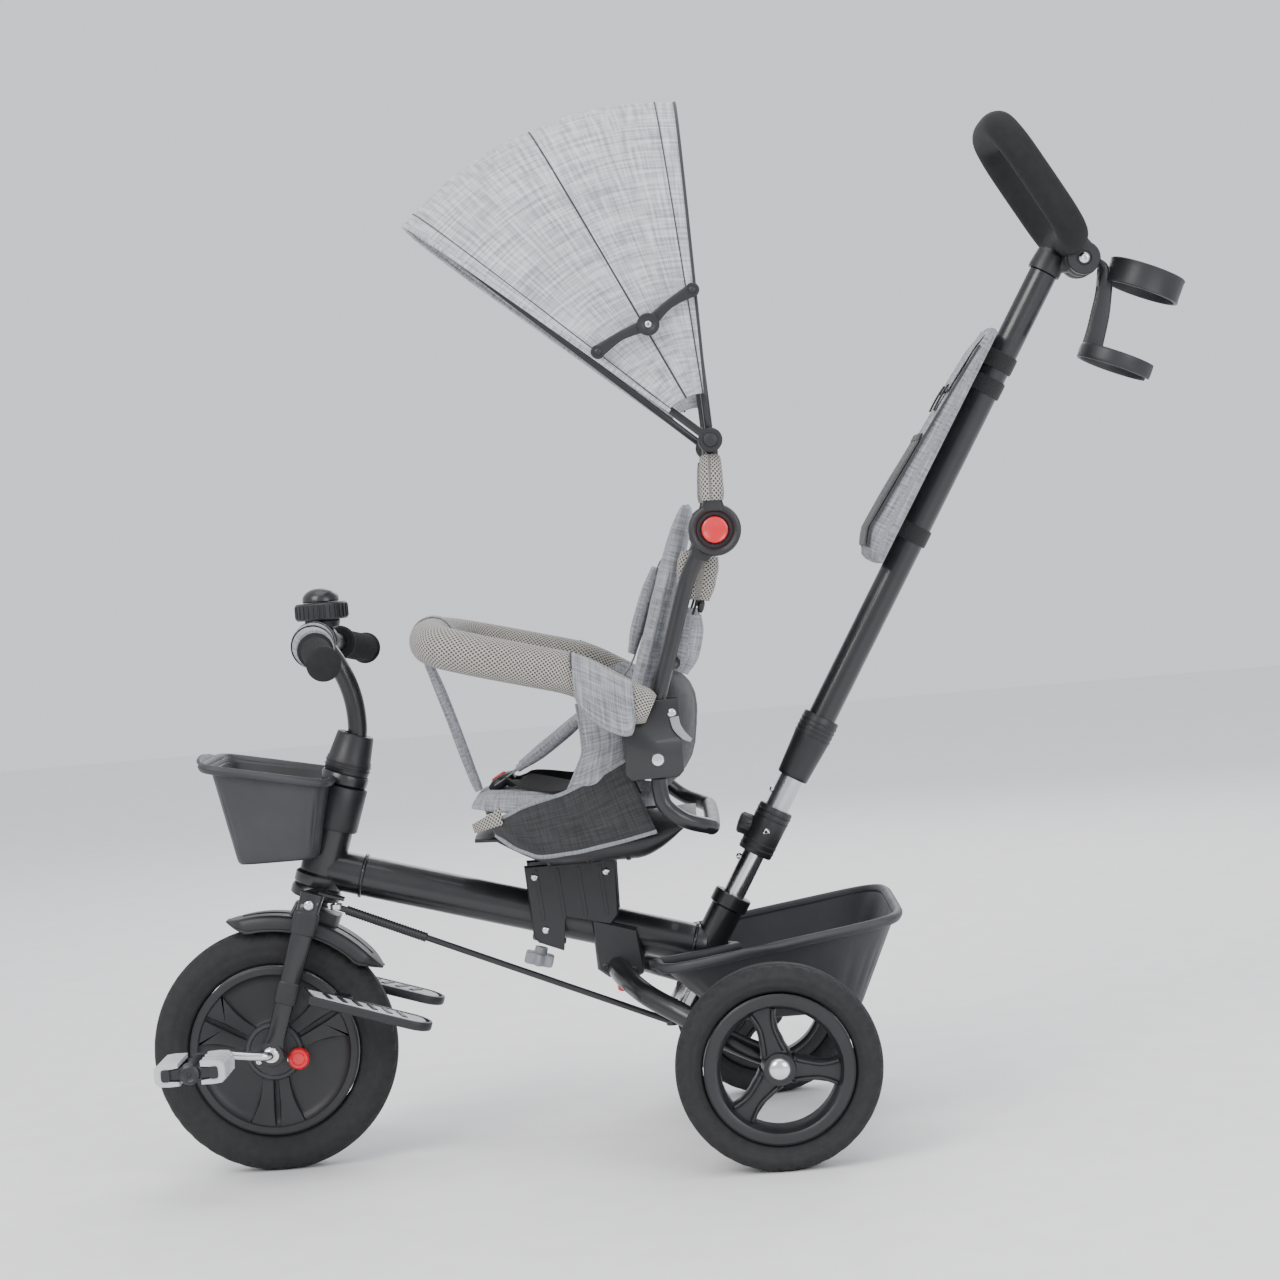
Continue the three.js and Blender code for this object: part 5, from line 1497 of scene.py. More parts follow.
def bag_trim():
    pieces_made = []
    pocket_rows = []
    for i in range(15):
        u = 436 + (560 - 436) * i / 14
        row = []
        for k in range(21):
            q = -1 + 2 * k / 20
            x = 49.5 * q
            rise = 1.4 + 2.6 * (1 - q * q) * math.sin(math.pi * i / 14)
            if abs(q) > 0.96:
                rise = 0.2
            row.append((x, bag_depth(u) + rise, u))
        pocket_rows.append(row)
    rings = []
    for row in pocket_rows:
        rings.append([bag_spot(*p) for p in row] + [bag_spot(x, f - 0.7, u) for x, f, u in reversed(row)])
    net = skin("bag_net", rings, BLACK_NET, crease=60.0)
    pieces_made.append(net)
    hem = [bag_spot(x, f + 0.4, u) for x, f, u in pocket_rows[-1]]
    pieces_made.append(sweep("bag_net_hem", hem[::2], (4.0, 0.9), STRAP, 3, PUSH_UP, power=4.0, count=12))
    for side in (1, -1):
        edge = [bag_spot(side * 51.2, bag_depth(u) - 2.4, u) for u in range(436, 688, 18)]
        pieces_made.append(sweep(f"bag_piping_{side}", edge, (1.3, 1.3), SEAM, 3, count=10))
    for n, u in enumerate((470, 640, 668)):
        band = []
        for k in range(36):
            a = 2 * math.pi * k / 36
            band.append(on_push(u) + (ACROSS * math.cos(a) * 16.2 + PUSH_BACK * math.sin(a) * 16.2) / 1000)
        pieces_made.append(sweep(f"bag_loop_{n}", band, (9.0, 0.9), STRAP, 2, PUSH_UP, True, 4.0, 12))
    flap_rows = []
    for i in range(10):
        u = 668 - 52 * i / 9
        flap_rows.append(
            [
                (46.0 * (-1 + 2 * k / 16) * (1 - 0.05 * (i / 9) ** 3), bag_depth(u) + 1.5, u)
                for k in range(17)
            ]
        )
    top_row = [(46.0 * (-1 + 2 * k / 16), bag_depth(678) - 1.0, 682) for k in range(17)]
    rings = []
    for row in [top_row] + flap_rows:
        rings.append([bag_spot(*p) for p in row] + [bag_spot(x, f - 0.9, u) for x, f, u in reversed(row)])
    top_flap = skin("bag_flap", rings, GREY_CLOTH, crease=60.0)
    pieces_made.append(top_flap)
    flap_edge = [bag_spot(x, f - 0.3, u) for x, f, u in flap_rows[-1]]
    pieces_made.append(
        sweep("bag_flap_edge", flap_edge[::2], (2.6, 1.0), SEAM, 3, PUSH_UP, power=4.0, count=12)
    )
    for x in (-24, 24):
        tab = [
            bag_spot(x, bag_depth(u) + lift, u)
            for u, lift in ((622, 2.4), (612, 2.9), (602, 2.6), (592, 1.8))
        ]
        pieces_made.append(sweep(f"bag_tab_{x}", tab, (6.0, 1.0), STRAP, 4, ACROSS, power=4.0, count=14))
    for made in pieces_made:
        put(made, "push_upper", "fabric_grey")


bag_trim()

# ---------------------------------------------------------------- seat


def seat_pan():
    """The moulded pan: a shallow boat with a rolled edge and ribs beneath."""
    rings = []
    steps = 40
    for i in range(steps + 1):
        s = i / steps
        y = -285 + 225 * s
        end = min(1.0, (math.sin(math.pi * min(1.0, max(0.0, s * 0.97 + 0.015)))) ** 0.42)
        wide = 118 - 26 * (1 - end)
        # The pan's underside sweeps up at the nose and the heel.
        low = 299 + 50 * max(0.0, (0.36 - s) / 0.36) ** 1.5 + 44 * max(0.0, (s - 0.72) / 0.28) ** 1.7
        high = 338.0
        low = min(low, high - 8)
        ring = []
        for x, z in section(wide, (high - low) / 2, 3.0, 44):
            ring.append(at(x, y, (high + low) / 2 + z))
        rings.append(ring)
    parts = [skin("seat_pan_looks", rings, BLACK, crease=50.0)]
    for side in (1, -1):
        for n in range(3):
            y = -212 + n * 40
            rib = [at(side * x, y, z) for x, z in ((34, 299.2), (70, 300.5), (102, 306), (113, 320))]
            parts.append(
                sweep(f"pan_rib_{side}_{n}", rib, (2.4, 1.6), BLACK, 5, ALONG, power=3.0, count=12)
            )
    return joined("seat_pan_looks", parts)


put(seat_pan(), "seat", "fabric_black", "seat_shell")


def puff(
    name, half, depth, place, material, rolls, power=4.5, crown=7.0, back=3.0, cols=48, rows=40, tufts=(),
):
    """A stuffed cushion: a soft crown with seams pressed along it, a rolled edge and a flatter back."""
    def surface(front):
        grid = []
        for i in range(rows + 1):
            row = []
            q = -1 + 2 * i / rows
            for k in range(cols + 1):
                p = -1 + 2 * k / cols
                # Grid lines crowd towards the edge, where the cushion turns.
                u = math.sin(p * math.pi / 2)
                v = math.sin(q * math.pi / 2)
                shape = max(0.0, 1 - abs(u) ** power) ** 0.5 * max(0.0, 1 - abs(v) ** power) ** 0.5
                rim = shape ** 0.55
                height = (depth * rim + crown * shape * shape) if front else -back * rim
                if front:
                    for seam_at in rolls:
                        height -= 5.0 * shape * math.exp(-(((u - seam_at) * half[0]) / 4.2) ** 2)
                    for tu, tv in tufts:
                        far = math.hypot((u - tu) * half[0], (v - tv) * half[1])
                        height -= 6.0 * shape * math.exp(-((far / 9.0) ** 2))
                    height += 0.55 * shape * math.sin(u * 21 + v * 7) * math.sin(v * 17 - u * 5)
                row.append(place(u * half[0], v * half[1], height))
            grid.append(row)
        return grid

    front, rear = surface(True), surface(False)
    verts, uvs, faces = [], [], []
    for grid, flip in ((front, False), (rear, True)):
        base = len(verts)
        for i, row in enumerate(grid):
            for k, p in enumerate(row):
                verts.append(p)
                uvs.append(
                    (
                        math.sin((-1 + 2 * k / cols) * math.pi / 2) * half[0] / 1000,
                        math.sin((-1 + 2 * i / rows) * math.pi / 2) * half[1] / 1000,
                    )
                )
        for i in range(rows):
            for k in range(cols):
                a = base + i * (cols + 1) + k
                quad = (a, a + 1, a + cols + 2, a + cols + 1)
                faces.append(quad[::-1] if flip else quad)
    obj = build(name, verts, faces, material, uvs, 60.0)
    bm = bmesh.new()
    bm.from_mesh(obj.data)
    bmesh.ops.remove_doubles(bm, verts=bm.verts, dist=0.00005)
    bm.to_mesh(obj.data)
    bm.free()
    settle(obj, 60.0)
    return obj


def seat_top(x, d, h):
    """A place on the seat: x across, d towards the nose, h above the pan, rising at the nose."""
    y = -190 - d
    rise = 12.0 * max(0.0, d / 95) ** 2
    return at(x, max(-288.0, y), 357.5 + rise + h - 1.5 * (x / 108) ** 2)


cushion = puff(
    "seat_cushion_looks", (107.0, 95.0), 9.0, seat_top, GREY_CLOTH, (-0.52, 0.52), crown=6.5, back=1.5,
    tufts=((0.0, 0.15),),
)
put(cushion, "seat", "fabric_grey", "seat_cushion")
nose = []
for k in range(33):
    q = -1 + 2 * k / 32
    x = 104.0 * math.sin(q * math.pi / 2)
    y = -190 - 93.5 * max(0.0, 1 - abs(q) ** 5.0) ** 0.4
    nose.append(at(x, y, 369 - 5 * abs(q) ** 3 - 9 * (1 - max(0.0, 1 - abs(q) ** 5) ** 0.4)))
put(tube("seat_front_piping", nose[::2], 1.9, PIPING, 3, count=12), "seat", "fabric_grey")


def pedestal():
    """The block that clamps the seat to the main tube: two ribbed cheeks, a saddle and its bolts."""
    parts = []
    for side in (1, -1):
        spots = [
            (-242, 297), (-238, tube_z(-243) - 26), (-233, tube_z(-243) - 32), (-208, tube_z(-208) - 32),
            (-206, tube_z(-206) + 4), (-156, tube_z(-156) + 7), (-148, 240), (-147, 297),
        ]
        cheek = side_places(side * 25.4, spots)
        parts.append(plate(f"pedestal_cheek_{side}", cheek, 9.0, ACROSS, BLACK, 2.2))
        for n, y in enumerate((-230, -208, -186, -164)):
            rib = [at(side * 30.0, y + 4 * (1 - t), 240 + 52 * t) for t in (0, 0.33, 0.66, 1)]
            parts.append(
                sweep(f"pedestal_rib_{side}_{n}", rib, (1.7, 1.1), BLACK, 3, ALONG, power=3.0, count=10)
            )
    saddle = [(-238, 296), (-236, tube_z(-236) + 25), (-154, tube_z(-154) + 25), (-150, 296)]
    parts.append(plate("pedestal_core", side_places(0, saddle), 42, ACROSS, DARK, 1.5))
    strap_points = []
    for k in range(15):
        a = math.radians(180 * k / 14)
        place = at(0, -222, tube_z(-222))
        strap_points.append(
            place + (ACROSS * math.cos(a) * 25.8 + DOWN_TUBE * (4 + math.sin(a) * 22.6)) / 1000
        )
    along = Vector((0, math.cos(TUBE_SLOPE), -math.sin(TUBE_SLOPE)))
    parts.append(sweep("pedestal_strap", strap_points, (11.5, 3.6), BLACK, 2, along, power=4.0, count=18))
    return joined("pedestal_looks", parts)


put(pedestal(), "seat", "plastic_black", "seat_pedestal")
for side in (1, -1):
    for n, (y, z) in enumerate(((-232, 285), (-158, 285), (-225, tube_z(-225) - 14))):
        bolt(f"pedestal_bolt_{side}_{n}", at(side * 29.9, y, z), (side, 0, 0), 3.8, "seat", CHROME, 2.2)


def star_knob():
    start = at(0, -222, tube_z(-222))
    rings = []
    side = ACROSS
    other = DOWN_TUBE.cross(side)
    for along, size in (
        (41.6, 0.80), (42.2, 0.94), (43.6, 1.0), (52.4, 1.0), (53.8, 0.95), (54.4, 0.82), (53.6, 0.5),
        (53.4, 0.2),
    ):
        ring = []
        for k in range(72):
            a = 2 * math.pi * k / 72
            r = (14.2 + 2.6 * math.cos(6 * a)) * size
            ring.append(
                start + DOWN_TUBE * (along / 1000) + (side * math.cos(a) + other * math.sin(a)) * (r / 1000)
            )
        rings.append(ring)
    parts = [skin("seat_knob_looks", rings, GREY, crease=50.0)]
    parts.append(
        turned("knob_neck", [(35.4, 3), (35.4, 6.6), (41.8, 6.9), (41.8, 3)], start, DOWN_TUBE, GREY, 32)
    )
    return joined("seat_knob_looks", parts)


put(star_knob(), "seat_knob", "plastic_grey", "seat_knob")


def seat_tube():
    left = [
        (140, -94, 385), (140, -94, 374), (140, -90, 358), (139, -72, 342), (124, -50, 333), (92, -45, 330),
    ]
    row = [at(*p) for p in left]
    row += [mirror(p) for p in reversed(row)]
    return tube("seat_tube_looks", row, 8.0, STEEL, 7, count=26)


put(seat_tube(), "seat", "frame_black", "seat_tube")


def recline_bracket(side):
    """A folded bracket: two cheeks round the backrest tube, joined at the front, and a pin."""
    outline = [(-126, 464), (-126, 392), (-121, 386.4), (-74, 386.4), (-68.4, 392), (-68.4, 464)]
    full = side_places(0, outline)
    parts = []
    for n, x in enumerate((129.6, 150.4)):
        spots = [p + ACROSS * (side * x / 1000) for p in full]
        parts.append(plate(f"bracket_cheek_{side}_{n}", spots, 3.0, ACROSS, STEEL, 1.0))
    front = side_places(
        side * 140,
        ((-124.6, 462), (-124.6, 440), (-124.6, 418), (-123.6, 400), (-116, 388.6), (-100, 387.6)),
    )
    parts.append(sweep(f"bracket_front_{side}", front, (11.6, 1.3), STEEL, 6, ACROSS, power=5.0, count=18))
    pin = [
        (126, 3), (126, 6.2), (127.6, 6.8), (127.9, 3.9), (152.1, 3.9), (152.4, 6.8), (154.4, 5.8),
        (155.0, 3.4), (154.8, 0.05),
    ]
    parts.append(turned(f"bracket_pin_{side}", sided(pin, side), at(0, -93.4, 405), ACROSS, CHROME, 26))
    return joined(f"bracket_{side}", parts)


for label, side in SIDES:
    put(recline_bracket(side), "seat", "frame_black", f"recline_bracket_{label}")
    bolt(f"bracket_rivet_{label}", at(side * 151.6, -76, 450), (side, 0, 0), 4.4, "seat", CHROME, 2.4)
    lever = places(((153.4, -74, 446), (153.8, -72, 436), (154.2, -66, 427), (154.6, -59, 421.5)), side)
    put(
        sweep(
            f"recline_lever_{label}", lever, [(1.5, 4.6), (1.6, 4.4), (1.5, 3.6), (1.3, 2.0)], GREY, 6,
            ACROSS, power=3.0, count=16,
        ),
        "seat", "plastic_grey",
    )

# ---------------------------------------------------------------- cloth panels


def thicken(obj, thick):
    """Gives an open surface a thickness, in millimetres."""
    modifier = obj.modifiers.new("thickness", "SOLIDIFY")
    modifier.thickness = thick / 1000
    modifier.offset = 0.0
    modifier.use_even_offset = False
    graph = bpy.context.evaluated_depsgraph_get()
    mesh = bpy.data.meshes.new_from_object(obj.evaluated_get(graph))
    obj.modifiers.clear()
    obj.data = mesh
    return obj


def panel(name, rows, thick, material):
    """A cloth panel through rows of points."""
    obj = skin(name, rows, material, closed=False, caps=False, crease=70.0)
    return thicken(obj, thick)


def strap(name, points, wide, thick, material, side=ACROSS, steps=6):
    """A flat strap along a path."""
    return sweep(name, points, (wide / 2, thick / 2), material, steps, side, power=5.0, count=16)


# ---------------------------------------------------------------- backrest

BACK_LEAN = math.radians(18.2)


def back_front(z):
    """The backrest's front face."""
    return -103 + (z - 519) * math.tan(BACK_LEAN)


def backrest_frame():
    parts = []
    for side in (1, -1):
        points = places(
            (
                (140, -94, 394), (140, -93, 425), (140, -89, 461.5), (140, -70, 520), (141, -51, 577),
                (146, -38, 602), (152, -32, 612),
            ),
            side,
        )
        parts.append(tube(f"back_tube_{side}", points, [8, 8, 8, 8, 8, 8.2, 8.6], STEEL, 7, count=26))
        disc = [(149, 6), (149, 24.6), (150.6, 26), (158.6, 26), (160, 25), (160, 6)]
        place = at(0, -18.8, 627)
        parts.append(turned(f"tilt_disc_{side}", sided(disc, side), place, ACROSS, BLACK, 52, lap=True))
        neck = places(((151, -36, 600), (153.5, -30, 612), (154.5, -24, 622)), side)
        parts.append(
            sweep(f"tilt_neck_{side}", neck, [(5.4, 9), (5.4, 12), (5.2, 16)], BLACK, 5, ACROSS, power=3.0)
        )
    cross = places(((-140, -77, 500), (-112, -66, 498), (0, -58, 496), (112, -66, 498), (140, -77, 500)))
    parts.append(tube("back_cross", cross, 7.0, STEEL, 8, count=24))
    return joined("backrest_frame_looks", parts)


put(backrest_frame(), "backrest", "frame_black", "backrest_frame")


def back_place(x, v, h):
    """A place on the backrest: v up from its middle, h in front of its core."""
    z = 522 + v * math.cos(BACK_LEAN) + h * math.sin(BACK_LEAN)
    y = back_front(522) + 12 + v * math.sin(BACK_LEAN) - h * math.cos(BACK_LEAN)
    return at(x, y + 3.5 * (1 - (x / 116) ** 2), z)


back_cushion = puff(
    "backrest_cushion_looks", (115.0, 139.0), 8.0, back_place, GREY_CLOTH, (-0.5, 0.5), crown=5.0,
    back=11.0, cols=52, rows=56, tufts=((-0.34, 0.55), (0.34, 0.55)),
)
put(back_cushion, "backrest", "fabric_grey", "backrest_cushion")
edge_points = []
for k in range(80):
    a = 2 * math.pi * k / 80
    c, s = math.cos(a), math.sin(a)
    x = 114.6 * math.copysign(abs(c) ** (2 / 4.5), c)
    v = 138.6 * math.copysign(abs(s) ** (2 / 4.5), s)
    edge_points.append(back_place(x, v, -1.0))
put(tube("back_piping", edge_points, 1.9, PIPING, 3, True, 12), "backrest", "fabric_grey")
back_seat_seam = [back_place(x, -62, 9.0 - 0.0006 * x * x) for x in range(-96, 97, 16)]
put(tube("back_seam", back_seat_seam, 0.8, SEAM, 3, count=8), "backrest", "fabric_grey")


def lumbar(x, v, h):
    """The black lower back panel, which bulges behind the tubes."""
    z = 428 + v
    y = -88 + 0.14 * v + h
    return at(-x, y, z)


lumbar_panel = puff(
    "lumbar_looks", (110.0, 58.0), 16.0, lumbar, BLACK_CLOTH, (-0.4, 0.0, 0.4), crown=20.0, back=4.0,
    power=3.2,
)
put(lumbar_panel, "backrest", "fabric_black")
for side in (1, -1):
    upper = side_places(side * 121, ((-35, 604), (-38, 592), (-41, 576), (-44, 559)))
    sleeve = sweep(
        f"back_sleeve_{side}", upper, [(9, 19), (11, 21), (11, 19.5), (9, 15)], MESH, 6, ACROSS, power=3.0,
        count=32,
    )
    put(sleeve, "backrest", "mesh_beige")
    lower = side_places(side * 121, ((-50, 545), (-53, 528), (-58, 508), (-66, 489)))
    pocket = sweep(
        f"back_pocket_{side}", lower, [(9, 12), (11, 15.5), (11, 15), (8, 10)], GREY_CLOTH, 6, ACROSS,
        power=3.0, count=32,
    )
    put(pocket, "backrest", "fabric_grey")
    ladder = side_places(side * 121, ((-41, 563), (-43, 555), (-46, 547), (-49, 540)))
    put(
        sweep(f"back_webbing_{side}", ladder, (9, 1.2), STRAP, 5, ACROSS, power=5.0, count=14), "backrest",
        "fabric_black",
    )
    buckle = [at(side * 121, -38 + v * 0.3, 552 + v) for v in (-6, -2, 2, 6)]
    put(
        sweep(
            f"back_buckle_{side}", buckle, [(9, 2.2), (12, 3.4), (12, 3.4), (9, 2.2)], BLACK, 4, ACROSS,
            power=3.4, count=20,
        ),
        "backrest", "fabric_black",
    )

# ---------------------------------------------------------------- harness

for side in (1, -1):
    run = [
        (36, -60, 606), (37, -76, 598), (38, -88, 566), (38, -103, 522), (36, -117, 492), (32, -150, 461),
        (27, -184, 434), (21, -222, 408), (13, -250, 391), (8, -262, 384),
    ]
    points = places(run, side)
    web = strap(f"harness_web_{side}", points, 24, 1.6, GREY_STRAP)
    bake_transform(web)
    shoulder = places(((37.4, -81, 592), (38, -92, 566), (38, -104, 534), (37.4, -112, 508)), side)
    pad = sweep(
        f"shoulder_pad_{side}", shoulder, [(18, 4.5), (23, 7.0), (23, 7.0), (18, 4.5)], GREY_CLOTH, 8,
        ACROSS, power=3.2, count=36,
    )
    put(pad, "backrest", "fabric_grey")
    waist = places(((30.6, -160, 453), (27, -184, 434.5), (22.5, -212, 415), (18, -238, 399)), side)
    pad = sweep(
        f"waist_pad_{side}", waist, [(17, 4.0), (22, 6.6), (22, 6.6), (17, 4.0)], GREY_CLOTH, 8, ACROSS,
        power=3.2, count=36,
    )
    put(pad, "seat", "fabric_grey")
    hip = places(
        ((100, -116, 375), (84, -150, 377), (52, -200, 380), (26, -238, 386), (12, -256, 384)), side,
    )
    put(
        strap(f"hip_strap_{side}", hip, 20, 1.6, STRAP, Vector((0.45 * side, 0.89, 0))), "seat",
        "fabric_black",
    )

buckle_body = side_places(0, ((-246, 391), (-254, 387), (-263, 382), (-270, 376.5)))
buckle_parts = [
    sweep(
        "harness_buckle", buckle_body, [(12, 4.0), (17, 6.4), (17, 6.6), (12, 4.6)], BLACK, 6, ACROSS,
        power=3.4, count=30,
    ),
    turned(
        "buckle_button", [(4, 8.6), (6.6, 8.6), (7.8, 7.6), (8.2, 5.0), (7.8, 0.05)], at(0, -258.5, 384.5),
        (0, -0.5, 0.866), RED, 32,
    ),
]
put(joined("harness_buckle", buckle_parts), "seat", "plastic_black")

# ---------------------------------------------------------------- safety bar


def safety_bar():
    """The padded bar: a mesh sleeve over foam, flattened where it reaches its pivots."""
    half = [
        (163.5, -96, 456, 7.6, 14.5), (163.6, -103, 459.5, 8.2, 18.6), (163.2, -116, 465, 8.6, 20.0),
        (160.5, -134, 476, 11.0, 20.6), (154, -156, 489, 17.0, 20.9), (150, -176, 498, 20.6, 21),
        (150, -215, 509, 21, 21), (148, -262, 522, 21, 21), (128, -298, 532, 21, 21),
        (80, -314, 537, 21, 21), (0, -317, 539, 21, 21),
    ]
    points = [at(x, y, z) for x, y, z, w, h in half]
    sizes = [(w, h) for x, y, z, w, h in half]
    points = points + [mirror(p) for p in reversed(points[:-1])]
    sizes = sizes + sizes[-2::-1]
    path = smooth_path(points, 7)
    rings = []
    for i, p in enumerate(path):
        forward = (path[min(i + 1, len(path) - 1)] - path[max(i - 1, 0)]).normalized()
        vertical = UPWARD - forward * forward.z
        vertical = vertical.normalized()
        flat = forward.cross(vertical)
        place = min(i / 7, len(sizes) - 1)
        low = int(place)
        high = min(low + 1, len(sizes) - 1)
        part = place - low
        w = sizes[low][0] * (1 - part) + sizes[high][0] * part
        h = sizes[low][1] * (1 - part) + sizes[high][1] * part
        rings.append([p + (flat * x + vertical * z) / 1000 for x, z in section(w, h, 2.1, 40)])
    return skin("safety_bar_looks", rings, MESH, crease=60.0)


bar_pad = put(safety_bar(), "safety_bar", "mesh_beige", "safety_bar")

FLAP_LINE = [
    (153.5, -170, 495.5, 19.4, 21.2), (154.5, -158, 490, 17.8, 21.2), (158, -144, 482, 14.4, 21.2),
    (161, -132, 475, 12.2, 20.8), (163, -120, 468, 10.4, 20.4), (163.8, -112, 464, 9.6, 19.6),
]


def flap(side):
    """The cloth flap that wraps the bar's rear end and hangs below it with a rounded edge."""
    rows = []
    count = 22
    for i in range(count + 1):
        s = i / count * (len(FLAP_LINE) - 1)
        low = min(int(s), len(FLAP_LINE) - 2)
        part = s - low
        x, y, z, w, h = [a + (b - a) * part for a, b in zip(FLAP_LINE[low], FLAP_LINE[low + 1])]
        q = -1 + 2 * i / count
        hang = 24.0 * math.sqrt(max(0.0, 1 - abs(q) ** 2.4)) + 1.0
        row = []
        for k in range(27):
            a = math.radians(250 - 250 * k / 26)
            row.append(at(side * (x + (w + 1.3) * math.cos(a)), y, z + (h + 1.3) * math.sin(a)))
        for k in range(1, 12):
            fall = (h * 0.72 + hang) * k / 11
            tuck = 1.6 * math.sin(math.pi * k / 11) + 2.2 * (k / 11) ** 2
            ripple = 0.5 * math.sin(i * 0.9 + k * 0.4)
            row.append(at(side * (x + w + 1.3 - tuck + ripple), y, z - fall))
        rows.append(row)
    made = panel(f"bar_flap_{side}", rows, 1.5, GREY_CLOTH)
    put(made, "safety_bar", "fabric_grey")
    hem = [row[-1] + ACROSS * (side * 0.0004) for row in rows]
    hem = [p + Vector((0, 0, 0.0008)) for p in hem]
    put(tube(f"flap_hem_{side}", hem[::2], 1.3, PIPING, 3, count=10), "safety_bar", "fabric_grey")
    front = [p + Vector((0, -0.0004, 0)) for p in rows[0][:26:3]]
    put(tube(f"flap_front_{side}", front, 1.1, SEAM, 3, count=8), "safety_bar", "fabric_grey")
    return made


for label, side in SIDES:
    flap(side)

loop_points = []
for k in range(24):
    a = 2 * math.pi * k / 24
    loop_points.append(at(0, -317 + 22.2 * math.cos(a), 539 + 22.2 * math.sin(a)))
put(
    sweep("nose_loop", loop_points, (14, 1.0), GREY_CLOTH, 3, ACROSS, True, 5.0, 16), "safety_bar",
    "fabric_grey",
)
crotch = side_places(
    0, ((-327, 518), (-322, 506), (-314, 482), (-305, 452), (-296, 420), (-288, 392), (-283, 377)),
)
crotch_strap = sweep(
    "crotch_strap", crotch, [(13, 3.0), (11, 4.6), (10, 5.4), (10, 5.4), (10, 5.4), (10, 5.0), (12, 4.0)],
    GREY_CLOTH, 6, ACROSS, power=3.6, count=20,
)
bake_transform(crotch_strap)


def side_panel(side):
    """The grey panel between the seat and the bar's flap, with bound edges."""
    rows = []
    for i in range(19):
        s = i / 18
        z = 372 + (466 - 372) * s
        front = -190 + 20 * min(1.0, s * 2.2) + 2 * math.sin(s * 3)
        rear = -127
        row = []
        for k in range(15):
            q = k / 14
            y = front + (rear - front) * q
            x = 112 + 30 * s ** 1.3 + 3.5 * math.sin(math.pi * q) + 0.7 * math.sin(9 * s + 5 * q)
            row.append(at(side * x, y, z + (1 - s) * max(0.0, (y + 175)) * 0.45))
        rows.append(row)
    made = panel(f"side_panel_{side}", rows, 1.6, GREY_CLOTH)
    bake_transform(made)
    bound = [row[0] for row in rows[::2]]
    trim = tube(f"side_binding_{side}", bound, 1.5, PIPING, 3, count=10)
    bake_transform(trim)


def side_cover(side):
    """The coated side panel of the seat: it climbs from the nose to the bracket, piped along both edges."""
    upper = [(-268, 352), (-253, 357), (-233, 366), (-192, 376), (-160, 388), (-127, 404)]
    lower = [(-262, 340), (-245, 326), (-219, 314), (-180, 317), (-140, 323), (-101, 331)]
    rows = []
    for i in range(41):
        s = i / 40 * 5
        n = min(int(s), 4)
        part = s - n
        top = [a + (b - a) * part for a, b in zip(upper[n], upper[n + 1])]
        low = [a + (b - a) * part for a, b in zip(lower[n], lower[n + 1])]
        row = []
        for k in range(13):
            q = k / 12
            y = low[0] + (top[0] - low[0]) * q
            z = low[1] + (top[1] - low[1]) * q
            x = 119.6 + 3.0 * math.sin(math.pi * q) - 3.5 * q + 0.8 * math.sin(i * 0.55 + q * 6) - 9 * max(
                0.0, (-y - 240) / 28,
            ) ** 2
            row.append(at(side * x, y, z))
        rows.append(row)
    cover = put(panel(f"seat_cover_{side}", rows, 1.4, BLACK_CLOTH), "seat", "fabric_black")
    put(
        tube(
            f"cover_pipe_high_{side}", [row[-1] for row in rows[::3]] + [rows[-1][-1]], 2.2, PIPING, 4,
            count=12,
        ),
        "seat", "fabric_grey",
    )
    put(
        tube(
            f"cover_pipe_low_{side}", [row[0] for row in rows[::3]] + [rows[-1][0]], 2.2, PIPING, 4,
            count=12,
        ),
        "seat", "fabric_grey",
    )
    corner_rows = []
    for i in range(9):
        s = i / 8
        row = []
        for k in range(9):
            q = k / 8
            y = -284 + 30 * q - 2 * s
            z = 342 + 9 * s + 16 * q * s + 8 * q * (1 - s)
            row.append(at(side * (96 + 22.5 * q ** 0.7), y, z))
        corner_rows.append(row)
    corner = put(panel(f"seat_corner_{side}", corner_rows, 1.6, MESH), "seat", "mesh_beige")


for label, side in SIDES:
    side_panel(side)
    side_cover(side)

# ---------------------------------------------------------------- sun hood

HOOD_REAR, HOOD_FRONT = 2.6, 48.3
REACH_REAR, REACH_FRONT = 349.0, 384.0
HOOD_HALF = 182.0


def arch_point(half, reach_high, degrees, turn):
    """A point of the hood's rounded arch, turn 0 to 180 degrees from the left foot to the right."""
    a = math.radians(turn)
    c, s = math.cos(a), math.sin(a)
    x = half * math.copysign(abs(c) ** 0.62, c)
    reach = reach_high * max(0.0, s) ** 0.5
    f = math.radians(degrees)
    return at(x, HUB[0] - reach * math.sin(f), HUB[1] + reach * math.cos(f))


def even_turns(count):
    """Turns that space the arch's points evenly, with the feet left out."""
    turns = []
    for i in range(count + 1):
        s = i / count
        e = s * 2 if s < 0.5 else (1 - s) * 2
        a = 90 * (e ** 1.55)
        turns.append(a if s < 0.5 else 180 - a)
    return turns


